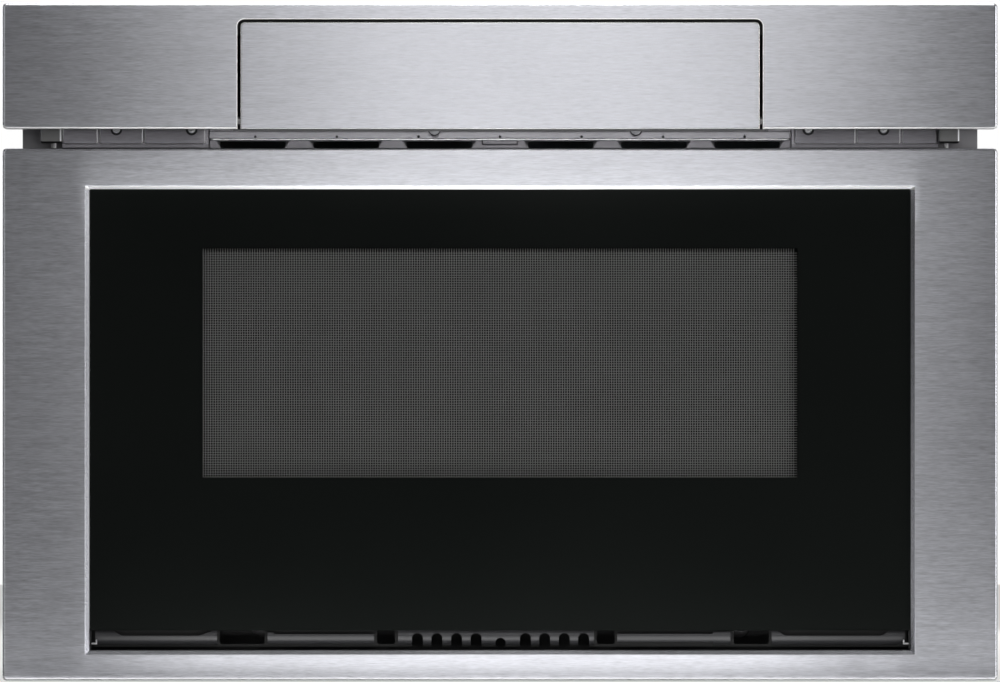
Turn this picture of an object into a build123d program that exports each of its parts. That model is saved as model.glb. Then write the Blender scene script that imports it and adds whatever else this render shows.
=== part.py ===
from build123d import *

import os
from math import acos, cos, pi, radians, sin, sqrt, tan

# A built-in microwave drawer, shut. X runs to the right, the front faces -Y, Z is up.
# The origin is the middle of the bottom of the whole object's box. Millimetres.

# ---- Driving dimensions -------------------------------------------------------------

FRONT_W, FRONT_H = 606.4, 412.6      # the whole front, fascia over drawer front
DEPTH = 594.0                        # front sheet to rear panel
PROUD = 38.0                         # how far the front stands out of the cabinet face
GAP_LOW, GAP_HIGH = 324.2, 336.1     # the air gap between drawer front and fascia
SKIN = 1.0                           # stainless front sheet
SHEET = 1.2                          # chassis sheet
THIN = 0.8                           # case and cavity sheet
TRAVEL = 381.0                       # how far the drawer slides out

Y_FRONT, Y_BACK = -DEPTH / 2, DEPTH / 2
Y_FACE = Y_FRONT + PROUD             # the cabinet face, and the back of the flange
Y_FLANGE = Y_FACE - SHEET            # the front of the flange
Y_REAR = Y_BACK - 5.0                # the outside of the rear panel; the cord's gland stands out of it
Y_DOOR_BACK = Y_FLANGE - 1.2         # what swallows the drawer front's seal clearance

CASE_W = 555.6                       # the case that goes into the cabinet opening
CASE_LOW, CASE_HIGH = 16.0, 387.0
CASE_X = CASE_W / 2
FLANGE_X, FLANGE_LOW, FLANGE_HIGH = 291.6, 6.0, 402.0

# Cavity and drawer tub
CAVITY_X, CAVITY_LOW, CAVITY_HIGH, CAVITY_BACK = 222.0, 92.0, 276.0, 150.0
TUB_X, TUB_LOW, TUB_HIGH, TUB_BACK = 212.0, 98.0, 262.0, 132.0
TUB_WALL = 2.5

# Opening in the drawer front: a bevel leads back from the face to the glass
BEVEL_DEPTH = 3.0
BEVEL_OUT = (-253.0, 253.0, 15.7, 301.4)
BEVEL_IN = (-250.0, 250.0, 18.6, 299.4)
GLASS_LOW = 30.5                     # the glass ends here, over the bottom air gap
GLASS_THICK = 4.0
Y_GLASS = Y_FRONT + BEVEL_DEPTH
Y_SCREEN = Y_GLASS + GLASS_THICK
SCREEN_THICK = 0.6
Y_PAN = Y_SCREEN + SCREEN_THICK

# Control flap and the panel behind it, which turns out about the flap's lower edge
FLAP_X, FLAP_HIGH, FLAP_R = 158.3, 401.3, 2.7
FLAP_OPEN_X, FLAP_OPEN_HIGH, FLAP_OPEN_R = 160.1, 403.0, 4.3
FLAP_DEEP = 8.0
PIVOT_Y, PIVOT_Z = Y_FRONT + 5.0, GAP_HIGH + 5.0
WELL_R, WELL_WALL = 53.5, 1.5
PIN_R = 2.5
RUN = 0.06                           # radial running fit

# Buttons in the gap
BUTTON_X = (-40.0, 82.9)
BUTTON_Y, BUTTON_R, BUTTON_TIP = Y_FRONT + 19.0, 4.0, 332.0
WELL_FLOOR = GAP_HIGH - SHEET        # the buttons come down through this floor

# Rack and pinion drive
MODULE, PINION_TEETH, PRESSURE = 2.0, 18, radians(20)
PITCH_R = MODULE * PINION_TEETH / 2
PINION_X, PINION_Y = PITCH_R, Y_FACE + 24.0
DRIVE_LOW, DRIVE_HIGH = 44.0, 54.0
BACKLASH = 0.16

# Telescopic slides, right side; the left is its mirror
SLIDE_LOW, SLIDE_HIGH = 20.0, 56.0
SLIDE_WEB = 257.2
SLIDE_BACK = 190.0
CARRIER_X = 240.0


# ---- Helpers ------------------------------------------------------------------------


def rect(x0, x1, z0, z1, r=0):
    """An upright or flat rectangle between two corners, with round corners if asked."""
    shape = RectangleRounded(x1 - x0, z1 - z0, r) if r else Rectangle(x1 - x0, z1 - z0)
    return Pos((x0 + x1) / 2, (z0 + z1) / 2) * shape


def outline(*points):
    """A closed face through corner points."""
    return make_face(Polyline(*points, close=True))


def facing(profile, y0, y1):
    """An (X, Z) outline, made solid from y0 back to y1."""
    return extrude(Plane.XZ.offset(-y1) * profile, amount=y1 - y0)


def across(profile, x0, x1):
    """A (Y, Z) outline, made solid from x0 to x1."""
    return extrude(Plane.YZ.offset(x0) * profile, amount=x1 - x0)


def upward(profile, z0, z1):
    """An (X, Y) outline, made solid from z0 up to z1."""
    return extrude(Plane.XY.offset(z0) * profile, amount=z1 - z0)


def block(x0, x1, y0, y1, z0, z1, r=0):
    """A block between two corners; r rounds the four upright edges."""
    return upward(rect(x0, x1, y0, y1, r), z0, z1)


def rod(x, y, z, axis, length, r):
    """A cylinder that starts at a point and runs along +X, +Y or +Z."""
    turn = {"x": Rot(0, 90, 0), "y": Rot(-90, 0, 0), "z": Rot(0, 0, 0)}[axis]
    grow = (Align.CENTER, Align.CENTER, Align.MIN)
    return Pos(x, y, z) * turn * Cylinder(r, length, align=grow)


def both_sides(shape):
    """The shape and its mirror image on the other side of the object."""
    return [shape, mirror(shape, Plane.YZ)]


def grown(box, by):
    """A rectangle given as (x0, x1, z0, z1), larger by the same amount all round."""
    return (box[0] - by, box[1] + by, box[2] - by, box[3] + by)


def frustum(front, back, y0, y1):
    """A solid that leads straight from one upright rectangle back to another."""
    a = Plane.XZ.offset(-y0) * rect(*front)
    b = Plane.XZ.offset(-y1) * rect(*back)
    return loft([a, b], ruled=True)


def rolled_pan(x0, x1, z0, z1, y0, y1, roll=1.8, corner=2.4, lip=12.0):
    """A sheet pan, open at the back: rolled front edges and lips turned in behind."""
    pan = facing(rect(x0, x1, z0, z1, corner), y0, y1)
    pan = fillet(pan.faces().sort_by(Axis.Y)[0].edges(), roll)
    inside = (x0 + SKIN, x1 - SKIN, z0 + SKIN, z1 - SKIN)
    mouth = grown(inside, -lip)
    return pan - facing(rect(*inside), y0 + SKIN, y1 - SKIN) - facing(rect(*mouth), y0 + 5, y1 + 1)


def from_pivot(*points):
    """Points given as (back, up) from the control panel's pivot, as (Y, Z)."""
    return [(PIVOT_Y + a, PIVOT_Z + b) for a, b in points]


# ---- Fascia, gap and flange ---------------------------------------------------------


def fascia_panel():
    """Stainless pan over the drawer, with the flap's opening and its turned-in rim."""
    pan = rolled_pan(-FRONT_W / 2, FRONT_W / 2, GAP_HIGH, FRONT_H, Y_FRONT, Y_FLANGE)
    reach = (-FLAP_OPEN_X, FLAP_OPEN_X, GAP_HIGH - 20, FLAP_OPEN_HIGH)
    rim = facing(rect(*grown(reach, SKIN), FLAP_OPEN_R + SKIN), Y_FRONT + 0.4, Y_FRONT + 9)
    above = block(-FRONT_W, FRONT_W, Y_FRONT - 1, Y_FACE, GAP_HIGH, FRONT_H)
    pan = pan + (rim & above) - facing(rect(*reach, FLAP_OPEN_R), Y_FRONT - 1, Y_FACE)
    # Behind its first 13 mm the underside is open, to clear what stands in the gap
    pan -= block(-289, 289, Y_FRONT + 13, Y_FACE, GAP_HIGH - 1, GAP_HIGH + 30)
    return pan - rod(-FLAP_OPEN_X - 3, PIVOT_Y, PIVOT_Z, "x", 2 * FLAP_OPEN_X + 6, 3.6)


def fascia_brackets():
    """Two hat channels that carry the fascia sheet off the flange."""
    x0, x1, crown = 178.0, 280.0, Y_FRONT + SKIN
    hat = outline(
        (x0, Y_FLANGE), (x0, Y_FLANGE - SHEET), (x0 + 18, Y_FLANGE - SHEET), (x0 + 26, crown),
        (x1 - 26, crown), (x1 - 18, Y_FLANGE - SHEET), (x1, Y_FLANGE - SHEET), (x1, Y_FLANGE),
        (x1 - 18.8, Y_FLANGE), (x1 - 26.8, crown + SHEET), (x0 + 26.8, crown + SHEET), (x0 + 18.8, Y_FLANGE),
    )
    return Compound(children=both_sides(upward(hat, GAP_HIGH + 18, FRONT_H - 16)))


def control_well():
    """Moulded housing that the control panel turns in: a quarter drum with end walls."""
    def shape(radius, top, front, back, low):
        drum = Pos(PIVOT_Y, PIVOT_Z) * Circle(radius)
        quarter = rect(PIVOT_Y + front, PIVOT_Y + radius + 1, GAP_HIGH, PIVOT_Z + radius + 1)
        throat = rect(PIVOT_Y + front, PIVOT_Y + back, GAP_HIGH, PIVOT_Z + top)
        foot = rect(PIVOT_Y + 8.6, PIVOT_Y + radius, low, PIVOT_Z)
        return (drum & quarter) + throat + foot

    outer = shape(WELL_R + WELL_WALL, 63.4, 4.0, 12.6, WELL_FLOOR)
    inner = shape(WELL_R, 61.9, 3.0, 11.0, GAP_HIGH)
    end_x = FLAP_OPEN_X + SKIN + 0.2
    cheek = outer + rect(PIVOT_Y - 3.6, PIVOT_Y + 9, GAP_HIGH + SKIN + 0.1, PIVOT_Z + 20, 3)
    well = across(outer, -end_x, end_x) - across(inner, -end_x, end_x)
    for end in both_sides(across(cheek, end_x, end_x + WELL_WALL)):
        well += end
    well -= rod(-end_x - 5, PIVOT_Y, PIVOT_Z, "x", 2 * end_x + 10, PIN_R + RUN)
    for x in BUTTON_X:
        well -= rod(x, BUTTON_Y, WELL_FLOOR - 1, "z", 4, BUTTON_R + RUN)
    # The cheeks stand over the fascia's lower return
    return well - block(-170, 170, Y_FRONT, Y_FRONT + 13.1, 330, GAP_HIGH + SKIN + 0.1)


def push_button(x):
    """A domed plunger with a collar that keeps it in the floor."""
    dome = Pos(x, BUTTON_Y, BUTTON_TIP + BUTTON_R) * Sphere(BUTTON_R)
    below = block(x - 9, x + 9, BUTTON_Y - 9, BUTTON_Y + 9, BUTTON_TIP - 1, BUTTON_TIP + BUTTON_R)
    barrel = rod(x, BUTTON_Y, BUTTON_TIP + BUTTON_R, "z", 1.2, BUTTON_R)
    return (dome & below) + barrel + rod(x, BUTTON_Y, GAP_HIGH + 0.1, "z", 1.1, BUTTON_R + 1.2)


def button_switches():
    """A switch housing over each plunger, standing on the well's floor."""
    homes = []
    for x in BUTTON_X:
        home = block(x - 8, x + 8, BUTTON_Y - 7, BUTTON_Y + 7, GAP_HIGH, GAP_HIGH + 9, 2)
        homes.append(home - rod(x, BUTTON_Y, GAP_HIGH - 1, "z", 5.2, BUTTON_R + 1.8))
    return Compound(children=homes)


Y_LOUVER, LOUVER_X = Y_FRONT + 27.0, 177.4
VENT_TOP, VENT_LOW, VENT_HALF, VENT_TAPER = 328.8, GAP_LOW, 22.1, 3.1
VENT_X = (-150.9, -94.0, -37.1, 37.1, 94.0, 150.9)
LIP_END = 2.4                        # the lip's ends taper over this length


def vent_louver():
    """The air outlet in the gap: a plate with a lip over six trapezoid vents."""
    plate = facing(rect(-LOUVER_X, LOUVER_X, GAP_LOW + 0.4, WELL_FLOOR), Y_LOUVER, Y_LOUVER + SHEET)
    for x in VENT_X:
        vent = outline(
            (x - VENT_HALF, VENT_TOP), (x + VENT_HALF, VENT_TOP),
            (x + VENT_HALF - VENT_TAPER, VENT_LOW), (x - VENT_HALF + VENT_TAPER, VENT_LOW),
        )
        plate -= facing(vent, Y_LOUVER - 1, Y_LOUVER + 2)
    for i in range(-3, 4):
        plate -= rod(i * 49.8, Y_LOUVER - 1, 331.6, "y", 3, 0.8)
    lip = outline(
        (Y_LOUVER, 330.6), (Y_LOUVER - 3.0, 330.4), (Y_LOUVER - 3.2, 329.6),
        (Y_LOUVER - 2.2, 329.5), (Y_LOUVER, 329.6),
    )
    bar = facing(rect(-10.9, 10.9, 326.7, 330.0, 0.9), Y_LOUVER - 1.6, Y_LOUVER)
    lip = across(lip, -LOUVER_X, LOUVER_X)
    for side in (-1, 1):
        end = outline(
            (side * LOUVER_X, Y_LOUVER), (side * (LOUVER_X - LIP_END), Y_LOUVER - 4),
            (side * (LOUVER_X + 1), Y_LOUVER - 4),
        )
        lip -= upward(end, GAP_LOW, GAP_HIGH)
    return plate + lip + chamfer(bar.faces().sort_by(Axis.Y)[0].edges(), 0.5)


POCKETS = ((179.9, 217.0), (218.0, 244.4), (245.6, 267.0))
GAP_SCREW_X = (188.2, 234.2)


def gap_side_plates():
    """Beside the louver on each side: a plate with three stepped tabs, round below."""
    plate = facing(rect(LOUVER_X + 0.4, 267.5, GAP_LOW + 0.6, 345), Y_LOUVER + 1, Y_LOUVER + 2.2)
    for x0, x1 in POCKETS:
        tab = facing(rect(x0, x1, 327.2, 345, 1.4), Y_LOUVER - 0.4, Y_LOUVER + 1)
        plate += chamfer(tab.faces().sort_by(Axis.Y)[0].edges(), 0.5)
    return Compound(children=both_sides(plate))


def gap_screws():
    """Pan heads that hold the side plates."""
    heads = []
    for x in GAP_SCREW_X:
        head = rod(x, Y_LOUVER - 2.6, 336.0, "y", 2.2, 3.4)
        head = chamfer(head.edges().sort_by(Axis.Y)[0], 0.9)
        heads += both_sides(head)
    return Compound(children=heads)


def gap_blocks():
    """A block at each end of the gap that keeps the fascia's height over the drawer."""
    body = facing(rect(267.7, 280.2, 327.6, 348, 1.0), Y_FRONT + 16, Y_FLANGE)
    body = chamfer(body.faces().sort_by(Axis.Y)[0].edges(), 0.9)
    return Compound(children=both_sides(body))


def gap_pins():
    """The small bright pin under each block."""
    pin = rod(272.2, Y_FRONT + 24, GAP_LOW + 0.4, "z", 327.6 - GAP_LOW - 0.4, 1.6)
    return Compound(children=both_sides(pin))


SCREW_X, SCREW_Z = 284.5, (70.0, 310.0)


def front_flange():
    """The chassis front: laps the cabinet face, with every opening the front needs."""
    plate = facing(rect(-FLANGE_X, FLANGE_X, FLANGE_LOW, FLANGE_HIGH, 3), Y_FLANGE, Y_FACE)
    grow = THIN
    holes = [rect(-CAVITY_X - grow, CAVITY_X + grow, CAVITY_LOW - grow, CAVITY_HIGH + grow)]
    holes.append(rect(-164.4, 164.4, WELL_FLOOR - 0.4, CASE_HIGH - THIN))
    holes.append(rect(-20, 44, DRIVE_LOW - 6, 60))
    for side in (-1, 1):
        x0, x1 = sorted((side * 236.0, side * 259.0))
        holes.append(rect(x0, x1, 18.0, 60.0, 2))
        holes.append(rect(side * 242 - 9, side * 242 + 9, 290, 306, 2))
        holes += [Pos(side * SCREW_X, z) * Circle(2.6) for z in SCREW_Z]
    holes += [rect(x - 20, x + 20, 316, 330, 3) for x in VENT_X]
    for hole in holes:
        plate -= facing(hole, Y_FLANGE - 1, Y_FACE + 1)
    return plate


# ---- Control panel: all of this turns about the pivot -------------------------------


def control_flap():
    """Stainless flap, a shallow pan; its lower edge is rounded to clear the gap."""
    pan = facing(rect(-FLAP_X, FLAP_X, GAP_HIGH, FLAP_HIGH), Y_FRONT, Y_FRONT + FLAP_DEEP)
    top = pan.edges().filter_by(Axis.Y).group_by(Axis.Z)[-1]
    pan = fillet(top, FLAP_R)
    front = pan.faces().sort_by(Axis.Y)[0].edges()
    pan = fillet(front, 0.8)
    inside = (-FLAP_X + SKIN, FLAP_X - SKIN, GAP_HIGH + SKIN, FLAP_HIGH - SKIN)
    pan -= facing(rect(*inside), Y_FRONT + SKIN, Y_FRONT + FLAP_DEEP + 1)
    return pan - rod(-FLAP_X - 1, PIVOT_Y, PIVOT_Z, "x", 2 * FLAP_X + 2, PIN_R + RUN)


# The carriage's side, as (back, up) from the pivot: the slope carries the glass
SLOPE_TOP, SLOPE_LOW = (3.0, 57.2), (49.0, -1.5)
CARRIAGE_FLOOR = -3.9


def on_slope(s, out):
    """The point s mm down the slope and out mm off its face, as (back, up)."""
    (a0, b0), (a1, b1) = SLOPE_TOP, SLOPE_LOW
    run = sqrt((a1 - a0) ** 2 + (b1 - b0) ** 2)
    da, db = (a1 - a0) / run, (b1 - b0) / run
    return (a0 + da * s - db * out, b0 + db * s + da * out)


SLOPE_RUN = sqrt((SLOPE_LOW[0] - SLOPE_TOP[0]) ** 2 + (SLOPE_LOW[1] - SLOPE_TOP[1]) ** 2)


def slope_plate(margin, out, thick, half):
    """A plate that lies along the carriage's slope, held back from its two ends."""
    s0, s1 = margin, SLOPE_RUN - margin
    corners = (on_slope(s0, out), on_slope(s1, out), on_slope(s1, out + thick), on_slope(s0, out + thick))
    return across(outline(*from_pivot(*corners)), -half, half)


CARRIAGE_WALL = 2.5


def control_carriage():
    """Moulded wedge behind the flap: open below, a window in its slope for the glass."""
    low = CARRIAGE_FLOOR
    side = from_pivot((-4.0, low), (48.0, low), SLOPE_LOW, SLOPE_TOP, (1.0, 58.9), (-4.0, 58.9))
    half = FLAP_X - SKIN - 0.1
    shell = across(outline(*side), -half, half)
    s_low, s_top = on_slope(SLOPE_RUN - 1, -CARRIAGE_WALL), on_slope(2.5, -CARRIAGE_WALL)
    hollow = from_pivot((-1.5, low - 1), (s_low[0], low - 1), s_low, s_top, (-1.5, s_top[1]))
    shell -= across(outline(*hollow), -half + 3, half - 3)
    shell -= slope_plate(13, -8, 12, 138)
    return shell - rod(-half - 1, PIVOT_Y, PIVOT_Z, "x", 2 * half + 2, PIN_R + RUN)


def control_glass():
    """Black touch glass on the slope."""
    return slope_plate(1.5, 0, 2.4, 153)


def control_board():
    """Circuit board under the slope, with a display and a ribbon socket on it."""
    board = slope_plate(9, -CARRIAGE_WALL - 1.6, 1.6, 147)
    display = slope_plate(20, -CARRIAGE_WALL, 2.2, 34)
    return board + display


def hinge_pins():
    """Two steel pins that the panel hangs on, each with a small head outside."""
    pin = rod(152.0, PIVOT_Y, PIVOT_Z, "x", 13.2, PIN_R)
    head = rod(FLAP_OPEN_X + SKIN + 0.3 + WELL_WALL, PIVOT_Y, PIVOT_Z, "x", 2.0, PIN_R + 1.4)
    return Compound(children=both_sides(pin + head))


# ---- Drawer front -------------------------------------------------------------------


def drawer_frame():
    """Stainless pan whose opening bevels back to the glass."""
    pan = rolled_pan(-FRONT_W / 2, FRONT_W / 2, 0, GAP_LOW, Y_FRONT, Y_DOOR_BACK - 1)
    ring = frustum(grown(BEVEL_OUT, 1.4), grown(BEVEL_IN, 1.4), Y_FRONT, Y_GLASS)
    ring &= facing(rect(*grown(BEVEL_OUT, 1.5)), Y_FRONT + 0.4, Y_GLASS)
    reach = frustum(BEVEL_OUT, BEVEL_IN, Y_FRONT, Y_GLASS)
    through = facing(rect(*BEVEL_IN), Y_FRONT - 1, Y_FRONT + 10)
    return pan + ring - reach - through


def drawer_glass():
    """Black glass behind the bevel; its lower edge stops short, over the air gap."""
    pane = facing(rect(-257, 257, GLASS_LOW, 306), Y_GLASS, Y_SCREEN)
    lower = pane.edges().filter_by(Axis.X).group_by(Axis.Z)[0].sort_by(Axis.Y)[0]
    return chamfer(lower, 0.8)


def window_screen():
    """The perforated shield behind the window, plain here."""
    return facing(rect(*grown(PAN_WINDOW, 4), 3), Y_SCREEN, Y_PAN)


PAN_WINDOW = (-190.0, 190.0, 116.0, 268.0)
PAN_SEAL = (-262.0, 262.0, 62.0, 308.0)
TUB_SEAT = (-217.0, 217.0, 97.0, 272.0)
Y_SEAL = Y_DOOR_BACK - 1.6
HOOK_X = (240.5, 243.5)


def door_pan():
    """Steel pan of the door: a front plate, and round the window a channel that traps stray waves."""
    tall = facing(rect(-302.2, 302.2, 1.0, GAP_LOW - SKIN, 1.6), Y_PAN, Y_PAN + SKIN)
    pan = tall - facing(rect(-249, 249, -5, 40, 2), Y_PAN - 1, Y_PAN + 2)
    # Channel: an outer and an inner wall standing back from the plate, lips turned to each other
    outer = facing(rect(*grown(PAN_SEAL, SKIN)), Y_PAN, Y_SEAL) - facing(rect(*PAN_SEAL), Y_PAN, Y_SEAL)
    inner = facing(rect(*grown(PAN_WINDOW, SKIN)), Y_PAN, Y_SEAL)
    lip = facing(rect(*grown(PAN_SEAL, SKIN)), Y_SEAL - SKIN, Y_SEAL)
    lip -= facing(rect(*grown(PAN_SEAL, -5)), Y_PAN, Y_SEAL)
    seat = facing(rect(*TUB_SEAT), Y_SEAL - SKIN, Y_SEAL)
    pan = pan + outer + inner + lip + seat
    return pan - facing(rect(*PAN_WINDOW), Y_PAN - 1, Y_SEAL + 1)


def choke_cover():
    """Plastic ring that closes the channel at the back, with a raised seal bead."""
    ring = facing(rect(*grown(PAN_SEAL, SKIN), 5), Y_SEAL, Y_SEAL + 1.0)
    ring -= facing(rect(*TUB_SEAT), Y_SEAL - 1, Y_SEAL + 2)
    bead = facing(rect(-240, 240, 76, 292, 6), Y_SEAL + 1, Y_SEAL + 1.5)
    bead -= facing(rect(-236, 236, 80, 288, 4), Y_SEAL, Y_SEAL + 2)
    ring += bead
    for hole in both_sides(block(HOOK_X[0] - 0.1, HOOK_X[1] + 0.1, Y_SEAL - 1, Y_SEAL + 2, 292.9, 301.5)):
        ring -= hole
    return ring


def window_inner_pane():
    """Clear pane that closes the window on the oven's side."""
    return facing(rect(*grown(PAN_WINDOW, -0.2), 2), Y_SEAL - 3.2, Y_SEAL - 0.2)


SLOT_W, SLOT_TOP = 6.7, 28.8
ARCHED_SLOTS = (-50.3, -38.5, -26.5, -14.6, 15.5, 27.2, 39.2, 51.0)
GRILLE_LOW, GRILLE_TOP = 21.6, 46.0  # the top lies hidden behind the glass
NOTCH = 27.2                         # the end plates dip to this height
GRILLE_DEEP = 4.0


def bottom_grille():
    """Air inlet under the glass: barrel-faced plates on a web, the middle one with arched slots."""
    y0, y1 = Y_PAN + SKIN, Y_PAN + SKIN + GRILLE_DEEP
    left = outline(
        (-246.8, GRILLE_LOW), (-172.5, GRILLE_LOW), (-172.5, GRILLE_TOP), (-175.2, GRILLE_TOP),
        (-175.2, 30.2), (-183.6, NOTCH), (-230.9, NOTCH), (-236.1, 30.2), (-236.1, GRILLE_TOP),
        (-246.8, GRILLE_TOP),
    )
    right = outline(
        (165.7, GRILLE_LOW), (246.8, GRILLE_LOW), (246.8, GRILLE_TOP), (237.3, GRILLE_TOP),
        (237.3, 30.2), (232.5, NOTCH), (174.0, NOTCH), (169.3, 30.2), (169.3, GRILLE_TOP),
        (165.7, GRILLE_TOP),
    )
    bar_left = rect(-141.8, -76.8, 22.4, 28.1) + rect(-141.8, -138.0, 22.4, 29.2)
    bar_right = rect(71.5, 140.5, 23.4, 28.3) + rect(129.9, 140.5, 21.8, 29.7)
    middle = rect(-62.2, 57.3, GRILLE_LOW, GRILLE_TOP)
    plates = facing(left + right + bar_left + bar_right + middle, y0, y1)
    # The plates' faces bow: they lean back above and curve under below
    bow = ThreePointArc((y0 + 1.3, 31.5), (y0, 27.8), (y0 + 3.4, GRILLE_LOW - 0.5))
    rest = Polyline(
        (y0 + 3.4, GRILLE_LOW - 0.5), (y1 + 1, GRILLE_LOW - 0.5), (y1 + 1, GRILLE_TOP + 1),
        (y0 + 1.3, GRILLE_TOP + 1), (y0 + 1.3, 31.5),
    )
    plates &= across(make_face(bow + rest), -250, 250)
    web = facing(rect(-248, 248, 20.4, GRILLE_TOP), y1 - 0.1, y1 + SHEET)
    for x0, x1 in ((-171, -143.5), (-75, -64), (59, 70), (142.5, 164)):
        web -= facing(rect(x0, x1, 22, 31, 1.5), y0, y1 + 2)
    grille = plates + web
    for x in ARCHED_SLOTS:
        slot = rect(x - SLOT_W / 2, x + SLOT_W / 2, 12, SLOT_TOP, SLOT_W / 2 - 0.05)
        grille -= facing(slot, y0 - 1, y1 + 2)
    return grille - rod(0.3, y0 - 1, 22.75, "y", 8, 3.15)


def corner_clips():
    """Spring clips that hook over the bevel in the lower corners."""
    y0, y1 = Y_GLASS + 0.2, Y_PAN + 0.8
    clip = outline(
        (y0, 18.7), (y1, 18.7), (y1, 25.0), (y1 - 2.6, 24.2), (y1 - 2.6, 23.4),
        (y1 - 1, 22.6), (y1 - 1, 19.7), (y0, 19.7),
    )
    return Compound(children=both_sides(across(clip, 245.6, 249.0)))


# ---- Drawer tub, carrier and slides -------------------------------------------------


def drawer_tub():
    """Moulded tub, open above and through its front window, with a rim round the top."""
    body = block(-TUB_X, TUB_X, Y_SEAL, TUB_BACK, TUB_LOW, TUB_HIGH)
    body = fillet(body.edges().filter_by(Axis.Z).group_by(Axis.Y)[-1], 16)
    body = fillet(ShapeList(body.faces().sort_by(Axis.Z)[0].edges().sort_by(Axis.Y)[1:]), 8)
    w = TUB_WALL
    hollow = block(-TUB_X + w, TUB_X - w, Y_SEAL + w, TUB_BACK - w, TUB_LOW + w, TUB_HIGH + 1)
    hollow = fillet(hollow.edges().filter_by(Axis.Z).group_by(Axis.Y)[-1], 16 - w)
    hollow = fillet(ShapeList(hollow.faces().sort_by(Axis.Z)[0].edges().sort_by(Axis.Y)[1:]), 8 - w)
    rim = block(-TUB_X - 4, TUB_X + 4, Y_SEAL + 30, TUB_BACK + 4, TUB_HIGH - 2.5, TUB_HIGH)
    rim = fillet(rim.edges().filter_by(Axis.Z).group_by(Axis.Y)[-1], 20)
    window = facing(rect(-188, 188, 118, TUB_HIGH + 5), Y_SEAL - 1, Y_SEAL + w + 1)
    return body + rim - hollow - window


def tub_tray():
    """Ceramic floor of the tub, with a shallow dished field."""
    x, back = TUB_X - 8.5, TUB_BACK - 8.5
    tray = block(-x, x, Y_SEAL + 5, back, TUB_LOW + TUB_WALL, TUB_LOW + 7.5, 13)
    dish = block(-x + 14, x - 14, Y_SEAL + 19, back - 14, TUB_LOW + 6.3, TUB_LOW + 8, 8)
    return chamfer(tray.faces().sort_by(Axis.Z)[-1].edges(), 0.8) - dish


def drawer_carrier():
    """Frame under the tub: a cross plate on the door, an arm to each slide and a rear bridge."""
    plate = facing(rect(-262, 262, 16, 59, 3), Y_SEAL - SKIN, Y_SEAL)
    for x in (-200, -130, 130, 200):
        plate -= facing(rect(x - 22, x + 22, 26, 48, 6), Y_SEAL - 2, Y_SEAL + 1)
    frame = plate
    for arm in both_sides(block(CARRIER_X - SHEET, CARRIER_X, Y_SEAL, 165, 24, 58)):
        frame += arm
    bridge = across(rect(134, 165, DRIVE_HIGH, 58), -CARRIER_X, CARRIER_X)
    bridge -= across(rect(134 + SHEET, 165 - SHEET, DRIVE_HIGH + SHEET, 60), -CARRIER_X + 2, CARRIER_X - 2)
    # Flanges folded forward to the door pan's plate
    y0, y1 = Y_PAN + SKIN, Y_SEAL
    frame += block(-262, 262, y0, y1, 58, 59)
    for end in both_sides(block(261, 262, y0, y1, 19, 59)):
        frame += end
    return frame + bridge


def channel(back, open_to, low, high, lip):
    """The section of a slide member: a web, two flanges and two short lips, as (X, Z)."""
    t = SHEET
    way = 1 if open_to > back else -1
    c = [
        (back, low), (open_to, low), (open_to, low + lip), (open_to - way * t, low + lip),
        (open_to - way * t, low + t), (back + way * t, low + t), (back + way * t, high - t),
        (open_to - way * t, high - t), (open_to - way * t, high - lip), (open_to, high - lip),
        (open_to, high), (back, high),
    ]
    return outline(*c)


def slide_outer():
    """Fixed members, on the base's brackets."""
    member = facing(channel(SLIDE_WEB, 245.2, SLIDE_LOW, SLIDE_HIGH, 3.0), Y_FACE + 3, SLIDE_BACK)
    return Compound(children=both_sides(member))


def slide_middle():
    """Middle members: nested in the outer ones."""
    section = channel(SLIDE_WEB - 2.0, 243.8, SLIDE_LOW + 3.6, SLIDE_HIGH - 3.6, 3.0)
    member = facing(section, Y_FACE + 5, SLIDE_BACK - 4)
    return Compound(children=both_sides(member))


def slide_inner():
    """Inner members, fixed to the carrier's arms, open towards the outer ones."""
    section = channel(CARRIER_X, 252.4, SLIDE_LOW + 7.4, SLIDE_HIGH - 7.4, 2.4)
    member = facing(section, Y_SEAL + 4, SLIDE_BACK - 10)
    return Compound(children=both_sides(member))


def slide_brackets():
    """Angles that carry the outer members on the base."""
    foot = outline(
        (SLIDE_WEB, CASE_LOW + SHEET), (SLIDE_WEB + 16, CASE_LOW + SHEET),
        (SLIDE_WEB + 16, CASE_LOW + 2 * SHEET), (SLIDE_WEB + SHEET, CASE_LOW + 2 * SHEET),
        (SLIDE_WEB + SHEET, SLIDE_HIGH), (SLIDE_WEB, SLIDE_HIGH),
    )
    angle = facing(foot, Y_FACE + 12, SLIDE_BACK - 12)
    return Compound(children=both_sides(angle))


def latch_hooks():
    """Two prongs on the door that reach the interlock switches when it shuts."""
    prong = outline(
        (Y_SEAL - 6, 293), (Y_SEAL + 26, 294.5), (Y_SEAL + 29, 296.5), (Y_SEAL + 29, 299.5),
        (Y_SEAL + 24, 302), (Y_SEAL + 18, 302), (Y_SEAL + 16, 300), (Y_SEAL - 6, 301.2),
    )
    hook = across(prong, *HOOK_X) + block(236, 248, Y_SEAL - 6, Y_SEAL, 289, 302.6, 2)
    return Compound(children=both_sides(hook))


# ---- Drive --------------------------------------------------------------------------


def involute(base_r, r):
    """Angle by which an involute that starts on a base circle has turned at radius r."""
    a = acos(base_r / r)
    return tan(a) - a


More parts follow.
